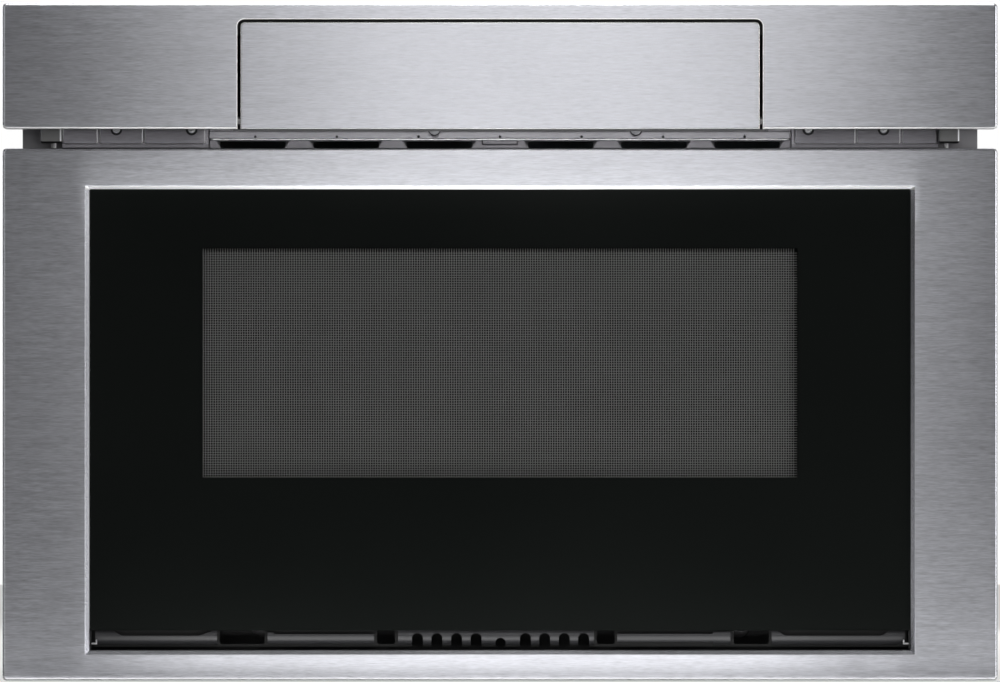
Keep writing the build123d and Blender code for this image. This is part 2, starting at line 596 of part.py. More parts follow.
def gear_outline(steps=4):
    """Spur gear, one tooth centred on the -X side: involute flanks over radial roots."""
    base_r = PITCH_R * cos(PRESSURE)
    tip_r, root_r = PITCH_R + MODULE, PITCH_R - 1.25 * MODULE
    half = (pi * MODULE / 2 - BACKLASH / 2) / (2 * PITCH_R) + involute(base_r, PITCH_R)
    radii = [base_r + (tip_r - base_r) * (i / steps) ** 1.5 for i in range(steps + 1)]
    flank = [(root_r, half)] + [(r, half - involute(base_r, r)) for r in radii]
    tooth = [(r, -a) for r, a in flank] + [(r, a) for r, a in reversed(flank)]
    points = []
    for i in range(PINION_TEETH):
        centre = pi + 2 * pi * i / PINION_TEETH
        points += [(r * cos(centre + a), r * sin(centre + a)) for r, a in tooth]
    return outline(*points)


def drive_pinion():
    """The pinion, with a hub and the bore for its shaft."""
    gear = Pos(PINION_X, PINION_Y) * gear_outline()
    wheel = upward(gear, DRIVE_LOW + 0.5, DRIVE_HIGH - 0.5)
    wheel += rod(PINION_X, PINION_Y, DRIVE_LOW - 1.5, "z", 3, 8)
    return wheel - rod(PINION_X, PINION_Y, DRIVE_LOW - 2, "z", 12, 4.02)


def pinion_shaft():
    """Gearbox output shaft."""
    return rod(PINION_X, PINION_Y, 31, "z", DRIVE_HIGH - 0.5 - 31, 4.0)


def drive_rack():
    """Rack along the drawer's middle: its pitch line lies at X = 0, teeth face +X."""
    pitch = pi * MODULE
    add, ded = MODULE, 1.25 * MODULE
    def half(x):
        return (pitch / 2 - BACKLASH / 2) / 2 - x * tan(PRESSURE)
    points = [(-12.0, 165.0), (-12.0, Y_SEAL), (-ded, Y_SEAL)]
    first = PINION_Y - 3.5 * pitch
    for i in range(66):
        y = first + i * pitch
        points += [(-ded, y - half(-ded)), (add, y - half(add)), (add, y + half(add)), (-ded, y + half(-ded))]
    points += [(-ded, 165.0)]
    return upward(outline(*points), DRIVE_LOW, DRIVE_HIGH)


def drive_gearbox():
    """Flat gearbox under the pinion, with bosses and a bearing bore."""
    low = CASE_LOW + SHEET
    box = block(PINION_X - 26, PINION_X + 44, Y_FACE + 4, PINION_Y + 30, low, 38, 8)
    box = chamfer(box.faces().sort_by(Axis.Z)[-1].edges(), 1.5)
    box += rod(PINION_X, PINION_Y, 37, "z", 4.5, 11)
    for x, y in ((PINION_X - 30, PINION_Y + 22), (PINION_X + 36, PINION_Y + 34)):
        box += rod(x, y, low, "z", 8, 6)
    return box - rod(PINION_X, PINION_Y, 30.9, "z", 20, 4.0 + RUN)


def drive_motor():
    """Motor can lying beside the gearbox, with a neck and a rear boss."""
    x0, z = PINION_X + 44, CASE_LOW + SHEET + 12.5
    can = chamfer(rod(x0, PINION_Y + 4, z, "x", 48, 12.2).edges(), 1.2)
    return can + rod(x0 + 48, PINION_Y + 4, z, "x", 4, 5)


# ---- Chassis ------------------------------------------------------------------------


def base_plate():
    """Folded base: upturned sides, pressed ribs and rows of air slots."""
    plate = block(-CASE_X, CASE_X, Y_FACE, Y_REAR - THIN, CASE_LOW, CASE_LOW + SHEET)
    for side in both_sides(block(CASE_X - THIN - SHEET, CASE_X - THIN, Y_FACE, Y_REAR - THIN, CASE_LOW, 40)):
        plate += side
    plate += block(-CASE_X + 2, CASE_X - 2, Y_REAR - THIN - SHEET, Y_REAR - THIN, CASE_LOW, 36)
    for i in range(5):
        y = 40 + i * 22
        for side in both_sides(block(120, 200, y, y + 6, CASE_LOW - 1, CASE_LOW + 2, 2.9)):
            plate -= side
    return plate


def outer_case():
    """Wrap of top and sides with a row of cooling slots at the rear of each side."""
    low = CASE_LOW + SHEET
    wrap = block(-CASE_X, CASE_X, Y_FACE, Y_REAR - THIN, low, CASE_HIGH)
    inside = outline(*[(x, z) for x, z in (
        (-CASE_X + THIN, low - 1), (CASE_X - THIN, low - 1),
        (CASE_X - THIN, CASE_HIGH - THIN), (-CASE_X + THIN, CASE_HIGH - THIN))])
    wrap -= facing(inside, Y_FACE - 1, Y_REAR)
    # Pressed stiffening field in the top
    wrap += block(-200, 200, -170, 200, CASE_HIGH - THIN - 1.2, CASE_HIGH - THIN, 20)
    wrap -= block(-199, 199, -169, 199, CASE_HIGH - 1.2, CASE_HIGH + 1, 19)
    for i in range(9):
        y = 150 + i * 14
        wrap -= across(rect(y, y + 5, 120, 200, 2.4), -CASE_X - 1, CASE_X + 1)
    return wrap


CORD_X, CORD_Z, CORD_R = 180.0, 70.0, 11.0
FAN_X, FAN_Z, FAN_R, Y_FAN = -150.0, 200.0, 52.0, 262.0


def rear_panel():
    """Back sheet: an inlet of ring slots before the fan, slot rows, and the cord's hole."""
    panel = facing(rect(-CASE_X, CASE_X, CASE_LOW + SHEET, CASE_HIGH, 2), Y_REAR - THIN, Y_REAR)
    for ring in range(3):
        r = 18 + ring * 15
        for i in range(4):
            arc = CenterArc((0, 0), r, 90 * i + 9, 72)
            slot = Pos(FAN_X, FAN_Z) * SlotArc(arc, 5.0)
            panel -= facing(slot, Y_REAR - 3, Y_REAR + 1)
    for i in range(10):
        x = 40 + i * 18
        panel -= facing(rect(x, x + 6, 230, 300, 2.9), Y_REAR - 3, Y_REAR + 1)
    return panel - rod(CORD_X, Y_REAR - 3, CORD_Z, "y", 5, CORD_R)


def oven_cavity():
    """Cavity liner, open in front, with a pressed belt on the sides and a ceiling window."""
    t = THIN
    box = block(-CAVITY_X - t, CAVITY_X + t, Y_FLANGE, CAVITY_BACK + t, CAVITY_LOW - t, CAVITY_HIGH + t)
    box = fillet(box.edges().filter_by(Axis.Z).group_by(Axis.Y)[-1], 8 + t)
    hollow = block(-CAVITY_X, CAVITY_X, Y_FLANGE - 1, CAVITY_BACK, CAVITY_LOW, CAVITY_HIGH)
    hollow = fillet(hollow.edges().filter_by(Axis.Z).group_by(Axis.Y)[-1], 8)
    liner = box - hollow
    liner -= block(-38, 38, -40, 38, CAVITY_HIGH - 2, CAVITY_HIGH + 2, 6)
    for i in range(5):
        for j in range(3):
            liner -= rod(LAMP_X - 12 + 6 * i, LAMP_Y - 6 + 6 * j, CAVITY_HIGH - 1, "z", 3, 1.7)
    return liner - rod(STIR_X, STIR_Y, CAVITY_HIGH - 1, "z", 3, 5)


LAMP_X, LAMP_Y = -150.0, -120.0
STIR_X, STIR_Y, STIR_R = 0.0, -110.0, 62.0
GUIDE_LOW = CAVITY_HIGH + THIN


def waveguide():
    """Tube from the magnetron over the cavity to the ceiling window."""
    tube = block(-42, 42, -46, 236, GUIDE_LOW, GUIDE_LOW + 34, 3)
    tube -= block(-41, 41, -45, 235, GUIDE_LOW + 1, GUIDE_LOW + 33, 2)
    tube -= block(-38, 38, -40, 38, GUIDE_LOW - 1, GUIDE_LOW + 2, 6)
    foot = block(-52, 52, -56, 60, GUIDE_LOW, GUIDE_LOW + 1)
    tube += foot - block(-42, 42, -46, 70, GUIDE_LOW - 1, GUIDE_LOW + 2)
    return tube - rod(0, 200, GUIDE_LOW - 1, "z", 4, 12)


def waveguide_cover():
    """Mica sheet clipped under the ceiling window."""
    return block(-50, 50, -52, 50, CAVITY_HIGH - 0.6, CAVITY_HIGH, 4)


def magnetron():
    """Yoke, anode, cooling fins, filter box and the antenna that enters the waveguide."""
    top = GUIDE_LOW
    yoke = block(-47, 47, 162, 238, top - 74, top) - block(-45, 45, 160, 240, top - 72, top - 2)
    anode = rod(0, 200, top - 66, "z", 60, 20)
    ends = rod(0, 200, top - 73, "z", 10, 27) + rod(0, 200, top - 12, "z", 11, 27)
    antenna = rod(0, 200, top - 2, "z", 24, 8)
    antenna = chamfer(antenna.edges().sort_by(Axis.Z)[-1], 3)
    box = block(-32, 32, 168, 232, top - 104, top - 74, 4)
    tube = yoke + anode + ends + antenna + box
    fins = []
    for i in range(7):
        z = top - 59 + i * 6.5
        fins.append(block(-44.6, 44.6, 166, 234, z, z + 0.8) - rod(0, 200, z - 1, "z", 3, 20.0))
    return Compound(children=[tube] + fins)


def stirrer():
    """Three paddles that spread the waves under the ceiling, on a plastic shaft."""
    z = CAVITY_HIGH - 6.0
    hub = rod(STIR_X, STIR_Y, z - 1, "z", 4, 9)
    paddle = upward(outline((4, -10), (STIR_R - 10, -20), (STIR_R, -6), (STIR_R - 4, 14), (8, 8)), z, z + 0.8)
    fan = hub
    for i in range(3):
        fan += Pos(STIR_X, STIR_Y) * Rot(0, 0, 120 * i) * paddle
    shaft = rod(STIR_X, STIR_Y, CAVITY_HIGH - 7, "z", 16, 3.0)
    return Compound(children=[fan - shaft, shaft])


def stirrer_motor():
    """Flat synchronous motor on the ceiling, ears at both sides."""
    can = rod(STIR_X, STIR_Y, CAVITY_HIGH + THIN, "z", 16, 24)
    can = chamfer(can.edges().sort_by(Axis.Z)[-1], 2)
    low = CAVITY_HIGH + THIN
    ears = block(STIR_X - 34, STIR_X + 34, STIR_Y - 7, STIR_Y + 7, low, low + 1, 6.9)
    return can + ears - rod(STIR_X, STIR_Y, CAVITY_HIGH, "z", 9.2, 3.0 + RUN)


# ---- Electrical parts ---------------------------------------------------------------


FLOOR = CASE_LOW + SHEET


def transformer_core():
    """Stacked iron core on its foot."""
    core = block(122, 208, 186, 256, FLOOR + 3, FLOOR + 73)
    for x0 in (136, 172):
        core -= block(x0, x0 + 22, 180, 262, FLOOR + 19, FLOOR + 57)
    return core + block(114, 216, 190, 252, FLOOR, FLOOR + 3, 5)


def transformer_windings():
    """Two coils on the middle limb, one over the other, each a rounded ring."""
    coils = []
    for z0, z1 in ((20, 37), (39, 56)):
        ring = upward(rect(137, 193, 172, 270, 16), FLOOR + z0, FLOOR + z1)
        ring = chamfer(ring.faces().sort_by(Axis.Z)[-1].edges(), 3)
        coils.append(ring - block(157.7, 172.3, 185.7, 256.3, FLOOR, FLOOR + 80))
    return Compound(children=coils)


def capacitor():
    """Oval can with two blade terminals, in a strap."""
    can = upward(rect(58, 100, 196, 262, 20), FLOOR, FLOOR + 62)
    can = chamfer(can.faces().sort_by(Axis.Z)[-1].edges(), 1.5)
    can += upward(rect(56.8, 101.2, 194.8, 263.2, 21), FLOOR + 26, FLOOR + 34)
    for y in (220, 238):
        can += block(75, 81, y, y + 0.8, FLOOR + 61, FLOOR + 72)
    return can


def power_board():
    """Relay board over the cavity on four posts."""
    z = CAVITY_HIGH + THIN
    board = block(78, 206, -70, 110, z + 10, z + 11.6, 3)
    for x in (84, 200):
        for y in (-64, 104):
            board += rod(x, y, z, "z", 10.5, 3)
    for i in range(4):
        board += block(88 + i * 26, 108 + i * 26, 70, 98, z + 11.6, z + 29, 1)
    for i in range(9):
        board += block(90 + i * 6, 91.4 + i * 6, -50, 10, z + 11.6, z + 38)
    board += block(90, 139.4, -50, 10, z + 11.6, z + 15)
    return board + rod(170, 30, z + 11.6, "z", 30, 12) + rod(170, -20, z + 11.6, "z", 22, 9)


def noise_filter():
    """Mains filter: a board with a ring choke and two box capacitors."""
    board = block(-120, -40, 190, 262, FLOOR + 6, FLOOR + 7.6, 3)
    for x in (-115, -45):
        for y in (195, 257):
            board += rod(x, y, FLOOR, "z", 7, 2.5)
    ring = rod(-92, 226, FLOOR + 7.6, "z", 13.8, 20.9) - rod(-92, 226, FLOOR, "z", 30, 7.1)
    ring = chamfer(ring.faces().sort_by(Axis.Z)[-1].edges(), 3.5)
    return board + ring + block(-66, -50, 205, 247, FLOOR + 7.6, FLOOR + 26, 1.5)


DUCT = 62.0


def fan_shroud():
    """Duct with a round orifice and three arms that hold the motor."""
    y_rear = Y_REAR - THIN
    duct = facing(rect(FAN_X - DUCT, FAN_X + DUCT, FAN_Z - DUCT, FAN_Z + DUCT, 6), Y_FAN - 10, y_rear)
    bore = DUCT - 1.5
    duct -= facing(rect(FAN_X - bore, FAN_X + bore, FAN_Z - bore, FAN_Z + bore, 4.5), Y_FAN - 8.5, y_rear + 1)
    duct -= rod(FAN_X, Y_FAN - 12, FAN_Z, "y", 10, FAN_R + 3)
    hub = rod(FAN_X, Y_FAN - 10, FAN_Z, "y", 1.5, 24)
    for i in range(3):
        arm = block(0, FAN_R + 6, Y_FAN - 10, Y_FAN - 8.5, -4, 4)
        hub += Pos(FAN_X, 0, FAN_Z) * Rot(0, 90 + 120 * i, 0) * arm
    return duct + hub - rod(FAN_X, Y_FAN - 12, FAN_Z, "y", 10, 5)


def fan_motor():
    """Shaded-pole motor: a laminated block with a coil and two end bells."""
    y = Y_FAN - 10
    motor = rod(FAN_X, y - 34, FAN_Z, "y", 34, 21)
    motor += facing(rect(FAN_X - 27, FAN_X + 27, FAN_Z - 24, FAN_Z + 24, 4), y - 26, y - 10)
    motor += facing(rect(FAN_X - 13, FAN_X + 13, FAN_Z - 44, FAN_Z - 22, 3), y - 30, y - 6)
    return motor - rod(FAN_X, y - 12, FAN_Z, "y", 14, 3 + RUN)


def fan_blade():
    """Moulded fan on its steel shaft: a domed hub and five twisted blades, lofted root to tip."""
    hub = rod(0, 0, 0, "z", 16, 13)
    fan = chamfer(hub.edges().sort_by(Axis.Z)[-1], 3)
    for i in range(5):
        sections = []
        for r, wide, pitch in ((11.0, 15.0, 48.0), (30.0, 24.0, 34.0), (FAN_R, 30.0, 24.0)):
            turn = radians(pitch)
            plane = Plane(origin=(r, 0, 8), x_dir=(0, cos(turn), sin(turn)), z_dir=(1, 0, 0))
            sections.append(plane * Rectangle(wide, 1.8))
        fan += Rot(0, 0, 72 * i) * loft(sections, ruled=True)
    shaft = rod(0, 0, -26, "z", 38, 3.0)
    return Pos(FAN_X, Y_FAN + 4, FAN_Z) * Rot(-90, 0, 0) * Compound(children=[fan - shaft, shaft])


def lamp_holder():
    """Ceramic holder and reflector box over the perforated lamp field."""
    z = CAVITY_HIGH + THIN
    box = block(LAMP_X - 22, LAMP_X + 30, LAMP_Y - 16, LAMP_Y + 16, z, z + 30, 3)
    box -= block(LAMP_X - 20.8, LAMP_X + 16, LAMP_Y - 14.8, LAMP_Y + 14.8, z - 1, z + 28.8, 2)
    return box - rod(LAMP_X + 15, LAMP_Y, z + 14, "x", 11, 6.3)


def lamp_bulb():
    """Oven lamp: a glass bulb on its cap, lying in the box."""
    z = CAVITY_HIGH + THIN + 14
    bulb_r, cap_r = 9.5, 6.2
    half = outline(
        (-bulb_r, 0), (30, 0), (30, cap_r), (7.2, cap_r), (4.0, 8.6), (0, bulb_r),
        (-5.5, 7.7), (-bulb_r, 3.4),
    )
    return Pos(LAMP_X - 4, LAMP_Y, z) * revolve(half, axis=Axis.X)


def switch_bracket():
    """Angles behind the flange that hold the interlock switches."""
    side = across(rect(Y_FACE, Y_FACE + 46, 284, 322, 4), 248, 248 + SHEET)
    tab = facing(rect(248, 268, 284, 322, 4), Y_FACE, Y_FACE + SHEET)
    return Compound(children=both_sides(side + tab))


def interlock_switches():
    """A snap switch over each hook, with its lever just clear of the prong."""
    body = across(rect(Y_FACE + 6, Y_FACE + 34, 305, 319, 1.2), 238, 248)
    lever = across(outline(
        (Y_FACE + 8, 305), (Y_FACE + 8.6, 305), (Y_FACE + 28, 303.0), (Y_FACE + 31, 303.6),
        (Y_FACE + 31, 303.0), (Y_FACE + 28, 302.4), (Y_FACE + 8, 304.4)), 240, 245)
    return Compound(children=both_sides(body + lever))


GLAND_FLANGE = 14.0


def cord_gland():
    """Bushing in the rear panel: a flange outside, a nut inside and a bore for the cord."""
    collar = rod(CORD_X, Y_REAR, CORD_Z, "y", Y_BACK - Y_REAR, GLAND_FLANGE)
    collar = chamfer(collar.edges().sort_by(Axis.Y)[-1], 2)
    neck = rod(CORD_X, Y_REAR - 16, CORD_Z, "y", 17, CORD_R - 0.1)
    nut = facing(Pos(CORD_X, CORD_Z) * RegularPolygon(15, 6), Y_REAR - THIN - 6, Y_REAR - THIN)
    return collar + neck + nut - rod(CORD_X, Y_REAR - 17, CORD_Z, "y", 30, CORD_BORE)


CORD_BORE = 4.5


# ---- Write every sub-part -----------------------------------------------------------

BUILDERS = [
    fascia_panel, fascia_brackets, control_well, button_switches, vent_louver, gap_side_plates,
    gap_screws, gap_blocks, gap_pins, front_flange, control_flap, control_carriage, control_glass,
    control_board, hinge_pins, drawer_frame, drawer_glass, window_screen, door_pan, choke_cover,
    window_inner_pane, bottom_grille, corner_clips, drawer_tub, tub_tray, drawer_carrier,
    slide_outer, slide_middle, slide_inner, slide_brackets, latch_hooks, drive_pinion, pinion_shaft,
    drive_rack, drive_gearbox, drive_motor, base_plate, outer_case, rear_panel, oven_cavity,
    waveguide, waveguide_cover, magnetron, stirrer, stirrer_motor, transformer_core,
    transformer_windings, capacitor, power_board, noise_filter, fan_shroud, fan_motor, fan_blade,
    lamp_holder, lamp_bulb, switch_bracket, interlock_switches, cord_gland,
]

os.makedirs("parts", exist_ok=True)
for builder in BUILDERS:
    export_step(builder(), f"parts/{builder.__name__}.step")
for name, x in zip(("panel_button", "drawer_button"), BUTTON_X):
    export_step(push_button(x), f"parts/{name}.step")
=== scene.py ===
# %% [markdown]
# A built-in microwave drawer: a stainless fascia that hides a swinging control panel, over a stainless
# drawer front with a black window. The mechanical model is already made and arrives as a frame of named
# parts. This lesson dresses it: first a finish for every part, then the pieces whose detail is too fine
# for the mechanical model, then the studio.

# %% Load the mechanical frame
import math

import bpy
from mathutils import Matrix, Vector


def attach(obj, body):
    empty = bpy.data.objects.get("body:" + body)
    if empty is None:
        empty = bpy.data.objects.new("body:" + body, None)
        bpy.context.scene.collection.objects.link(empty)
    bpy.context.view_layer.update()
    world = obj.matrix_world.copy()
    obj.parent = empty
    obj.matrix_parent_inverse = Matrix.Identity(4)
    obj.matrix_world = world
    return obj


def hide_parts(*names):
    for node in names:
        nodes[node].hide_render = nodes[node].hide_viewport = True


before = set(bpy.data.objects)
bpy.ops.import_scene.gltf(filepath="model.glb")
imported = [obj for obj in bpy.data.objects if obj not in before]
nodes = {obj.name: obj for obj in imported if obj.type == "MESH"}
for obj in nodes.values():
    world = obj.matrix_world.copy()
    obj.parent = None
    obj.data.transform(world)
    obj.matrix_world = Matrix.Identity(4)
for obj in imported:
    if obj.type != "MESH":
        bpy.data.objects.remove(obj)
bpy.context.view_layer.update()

# %% [markdown]
# Finishes are written as sums on shader sockets. The small class Link wraps a socket, so that an
# expression such as `1 - mask * 0.2` adds the Math nodes it needs. One method, `node`, makes every
# other node: its settings come first, then the values or links of its sockets.

# %% Shader expressions
EVEN = (1, 1, 1)


def colour(tone):
    """Three numbers as a solid colour; a link passes through."""
    return tone if isinstance(tone, Link) else (*tone, 1)


class Link:
    """An output socket that takes part in Python arithmetic."""

    def __init__(self, finish, plug):
        self.finish, self.plug = finish, plug

    def __getitem__(self, name):
        return Link(self.finish, self.plug.node.outputs[name])

    def math(self, operation, a, b):
        return self.finish.math(operation, a, b)

    def __add__(self, other):
        return self.math("ADD", self, other)

    __radd__ = __add__

    def __mul__(self, other):
        return self.math("MULTIPLY", self, other)

    __rmul__ = __mul__

    def __sub__(self, other):
        return self.math("SUBTRACT", self, other)

    def __rsub__(self, other):
        return self.math("SUBTRACT", other, self)

    def __truediv__(self, other):
        return self.math("DIVIDE", self, other)

    def __mod__(self, other):
        return self.math("FLOORED_MODULO", self, other)

    def __gt__(self, other):
        return self.math("GREATER_THAN", self, other)

    def __lt__(self, other):
        return self.math("LESS_THAN", self, other)


class Finish:
    """A material under construction: its Principled shader and its Object coordinates."""

    def __init__(self, name):
        self.material = bpy.data.materials.new(name)
        self.material.use_nodes = True
        self.tree = self.material.node_tree
        self.shader = self.tree.nodes["Principled BSDF"]
        self.place = self.node("TexCoord")["Object"]

    def node(self, kind, settings=None, sockets=None):
        """Add a node and give its first output."""
        made = self.tree.nodes.new("ShaderNode" + kind)
        for key, value in (settings or {}).items():
            setattr(made, key, value)
        for key, value in (sockets or {}).items():
            self.join(made.inputs[key], value)
        return Link(self, made.outputs[0])

    def join(self, plug, value):
        """Link a socket to another, or give it its value."""
        if isinstance(value, Link):
            self.tree.links.new(value.plug, plug)
        else:
            plug.default_value = value

    def set(self, **sockets):
        """Set or link the Principled shader's sockets, spaces written as underscores."""
        for key, value in sockets.items():
            self.join(self.shader.inputs[key.replace("_", " ")], value)
        return self

    def math(self, operation, a, b):
        return self.node("Math", {"operation": operation}, {0: a, 1: b})

    def axis(self, name):
        """How far the shaded point lies along X, Y or Z, in metres."""
        return self.node("SeparateXYZ", None, {0: self.place})[name]

    def stretched(self, stretch):
        """The place of the shaded point, scaled along each axis."""
        return self.node("Mapping", None, {"Vector": self.place, "Scale": stretch})

    def noise(self, scale, stretch=EVEN, detail=3.0):
        """Cloudy noise from 0 to 1."""
        sockets = {"Vector": self.stretched(stretch), "Scale": scale, "Detail": detail}
        return self.node("TexNoise", None, sockets)

    def cells(self, scale, stretch=EVEN, output="Distance", **settings):
        """A pattern of cells: the distance to a cell's middle, or its own colour."""
        made = self.node("TexVoronoi", settings, {"Vector": self.stretched(stretch), "Scale": scale})
        return made[output]

    def shade(self, mask, low, high):
        """A colour that runs from low to high as the mask goes from 0 to 1."""
        mix = self.node("Mix", {"data_type": "RGBA"}, {0: mask, 6: colour(low), 7: colour(high)})
        return Link(self, mix.plug.node.outputs[2])

    def tint(self, mask, tone):
        """Lay another colour over the base colour where the mask is 1."""
        under = Link(self, self.shader.inputs["Base Color"].links[0].from_socket)
        return self.set(Base_Color=self.shade(mask, under, tone))

    def clamp(self, value, low, high):
        """Where value runs from low to high, a mask runs from 0 to 1."""
        return self.node("MapRange", {"clamp": True}, {0: value, 1: low, 2: high})

    def inside(self, x0, x1, z0, z1):
        """A mask that is 1 inside a rectangle of the front."""
        x, z = self.axis("X"), self.axis("Z")
        return (x > x0) * (x < x1) * (z > z0) * (z < z1)

    def off_slit(self, half_width, top, radius):
        """The distance from the slit round the flap: an upside-down U with round corners."""
        x = self.math("ABSOLUTE", self.axis("X"), 0) - (half_width - radius)
        z = self.axis("Z") - (top - radius)
        corner = self.math("SQRT", self.math("MAXIMUM", x, 0) * x + self.math("MAXIMUM", z, 0) * z, 0)
        inner = self.math("MINIMUM", self.math("MAXIMUM", x, z), 0)
        return self.math("ABSOLUTE", corner + inner - radius, 0)

    def bump(self, height, distance, strength=1.0, over=None):
        """Normals of a low relief, laid over other normals if there are any."""
        sockets = {"Height": height, "Distance": distance, "Strength": strength}
        if over:
            sockets["Normal"] = over
        return self.node("Bump", None, sockets)

    def edge_break(self, radius):
        """Normals turned round every sharp edge, as a broken edge has them."""
        return self.node("Bevel", {"samples": 6}, {"Radius": radius})


print("shader helpers ready")

# %% [markdown]
# Each mechanical part gets one finish. The parts arrive with a plain colour from the mechanical model, so
# to dress one means to empty its list of materials and to put the new one in. The names are kept, to
# count how many parts are done.

# %% Dress a part
finished = set()


def dress(finish, *names):
    """Give mechanical parts a finish."""
    for name in names:
        part = nodes[name]
        part.data.materials.clear()
        part.data.materials.append(finish.material)
        finished.add(name)


def tell(what):
    """Say how many parts have a finish by now."""
    print(what + ":", len(finished), "of", len(nodes), "parts have a finish")


tell("start")

# %% [markdown]
# The front is stainless sheet, brushed from side to side. Under soft light such steel shows two things:
# fine streaks that run along X, and highlights pulled out across them. The streaks are noise stretched
# along X, at two sizes. The pulled highlight is the shader's own anisotropy, turned upright. Where the
# sheet folds back from the front plane it has no brushing. Three of its folds and the edge of the slit
# round the flap get a painted highlight: masks by place find them and paint them white.

# %% Brushed stainless
ALONG_X = (0.07, 1.0, 1.0)
FRONT_SKIN, FOLD_BLEND = -0.29695, 0.0002  # past this Y the sheet is folded back
PAINTED_HIGHLIGHT_FOLDS = (                              # the X and Z limits of the folds with a painted highlight
    (-0.2535, 0.2535, 0.2990, 0.3020),     # over the glass
    (-0.3050, 0.3050, -0.001, 0.0030),     # the drawer's foot
    (-0.3050, 0.3050, 0.3355, 0.3385),     # the fascia's foot
)
SLIT = (0.1592, 0.40215, 0.0035)           # half its width, its top and its corner radius
SLIT_EDGE = 0.00155                        # how far the painted highlight reaches from the slit's line
FASCIA_FOOT = 0.33


def brushed_steel(name, tint, roughness, anisotropy=0.9, folded=True):
    """Sheet with streaks along X; folded sheet has plain folds, and painted highlights on three folds and
    the slit's edge.
    """
    steel = Finish(name)
    fine = steel.noise(2300.0, ALONG_X, 2.0)
    broad = steel.noise(800.0, ALONG_X, 2.0)
    cloud = steel.noise(7.0, detail=2.0)
    streak = steel.clamp(fine * 0.6 + broad * 0.4, 0.34, 0.66)
    tone = steel.shade(streak, [0.80 * c for c in tint], [1.18 * c for c in tint])
    rough = streak * 0.10 + cloud * 0.05 + (roughness - 0.075)
    relief = streak
    if folded:
        fold = steel.clamp(steel.axis("Y"), FRONT_SKIN, FRONT_SKIN + FOLD_BLEND)
        # painted highlights: the three folds and the slit's edge are painted white
        low = sum(steel.inside(*zone) for zone in PAINTED_HIGHLIGHT_FOLDS)
        slit = (steel.off_slit(*SLIT) < SLIT_EDGE) * (steel.axis("Z") > FASCIA_FOOT)
        tone = steel.shade(steel.math("MAXIMUM", fold * low, slit), tone, (1.0, 1.0, 1.0))
        rough = rough * (1 - fold) + fold * (low * 0.1 + 0.24)
        relief = streak * (1 - fold)
    return steel.set(
        Base_Color=tone,
        Metallic=1.0,
        Roughness=rough,
        Normal=steel.bump(relief, 0.00001, 0.4, steel.edge_break(0.0008)),
        Anisotropic=anisotropy,
        Anisotropic_Rotation=0.25,
    )


front_steel = brushed_steel("front_steel", (0.60, 0.605, 0.645), 0.345, 1.0)
dress(front_steel, "fascia_panel", "drawer_frame", "control_flap")
tell("front steel")

# %% [markdown]
# The louver and the side plates stand back in the gap between the two fronts. It is the same sheet, and
# darker. Below its lip the louver has painted shade, and the nose of the lip has a painted highlight. The
# side plates have painted shade below their tabs, and the tabs' chamfers have a painted highlight. One
# finish for each part does this, with tints that begin at a height or a depth. More materials on one mesh
# would need faces picked by hand.

# %% Sheet in the gap
LIP_FOOT, LIP_NOSE = 0.3294, -0.2720
TAB_FOOT, TAB_CHAMFER = 0.3271, (-0.27035, -0.2693)
PAINTED_HIGHLIGHT = (1.0, 1.0, 1.0)

louver_steel = brushed_steel("louver_steel", (0.37, 0.363, 0.385), 0.38, folded=False)
# painted shade: darker below the lip, where the lip's shadow falls
louver_steel.tint(louver_steel.axis("Z") < LIP_FOOT, (0.17, 0.165, 0.175))
# painted highlight: the nose of the lip is white
louver_steel.tint(louver_steel.axis("Y") < LIP_NOSE, PAINTED_HIGHLIGHT)
dress(louver_steel, "vent_louver")

gap_steel = brushed_steel("gap_steel", (0.41, 0.396, 0.426), 0.5, 0.4, folded=False)
# painted shade: darker below the tabs
gap_steel.tint(gap_steel.axis("Z") < TAB_FOOT, (0.3, 0.29, 0.31))
# painted highlight: the tabs' chamfers are white
chamfer = (gap_steel.axis("Y") > TAB_CHAMFER[0]) * (gap_steel.axis("Y") < TAB_CHAMFER[1])
gap_steel.tint(chamfer, PAINTED_HIGHLIGHT)
dress(gap_steel, "gap_side_plates")
tell("gap steel")

# %% [markdown]
# The black front is a clear pane, painted black from behind round a clear window. Paint behind glass
# looks like deep, wet black. One material does both: a mask in X and Z is 1 inside the window, and
# there the pane turns see-through. The pane over the controls and the window's inner pane are the same
# dark glass without a mask.

# %% Black glass
WINDOW = (-0.1815, 0.1815, 0.1235, 0.2636)


def dark_glass(name, scale, dark, pale, smear_share, polish):
    """A smooth pane with faint smears."""
    pane = Finish(name)
    smear = pane.noise(scale, detail=2.0)
    return pane.set(Base_Color=pane.shade(smear, dark, pale), Roughness=smear * smear_share + polish,
                    IOR=1.5)


pane = dark_glass("black_glass", 5.0, (0.0052, 0.0062, 0.0057), (0.0088, 0.0102, 0.0094), 0.04, 0.03)
pane.set(Alpha=1 - pane.inside(*WINDOW) * 0.9, Specular_IOR_Level=0.35)
dress(pane, "drawer_glass")
dress(dark_glass("control_black", 8.0, (0.003, 0.003, 0.0035), (0.006, 0.006, 0.007), 0.05, 0.05),
      "control_glass")
inner_pane = dark_glass("clear_pane", 12.0, (0.004, 0.005, 0.0045), (0.006, 0.007, 0.0065), 0.06, 0.04)
dress(inner_pane.set(Alpha=0.82), "window_inner_pane")
tell("glass")

# %% [markdown]
# Behind the front, most sheet is hot-dip zinc coated steel. Its zinc froze in flat crystals, and each
# reflects a little differently. Voronoi cells give each crystal its own brightness and roughness. Turned
# and pressed metal has no crystals: a fine grain and some wear are enough for it.

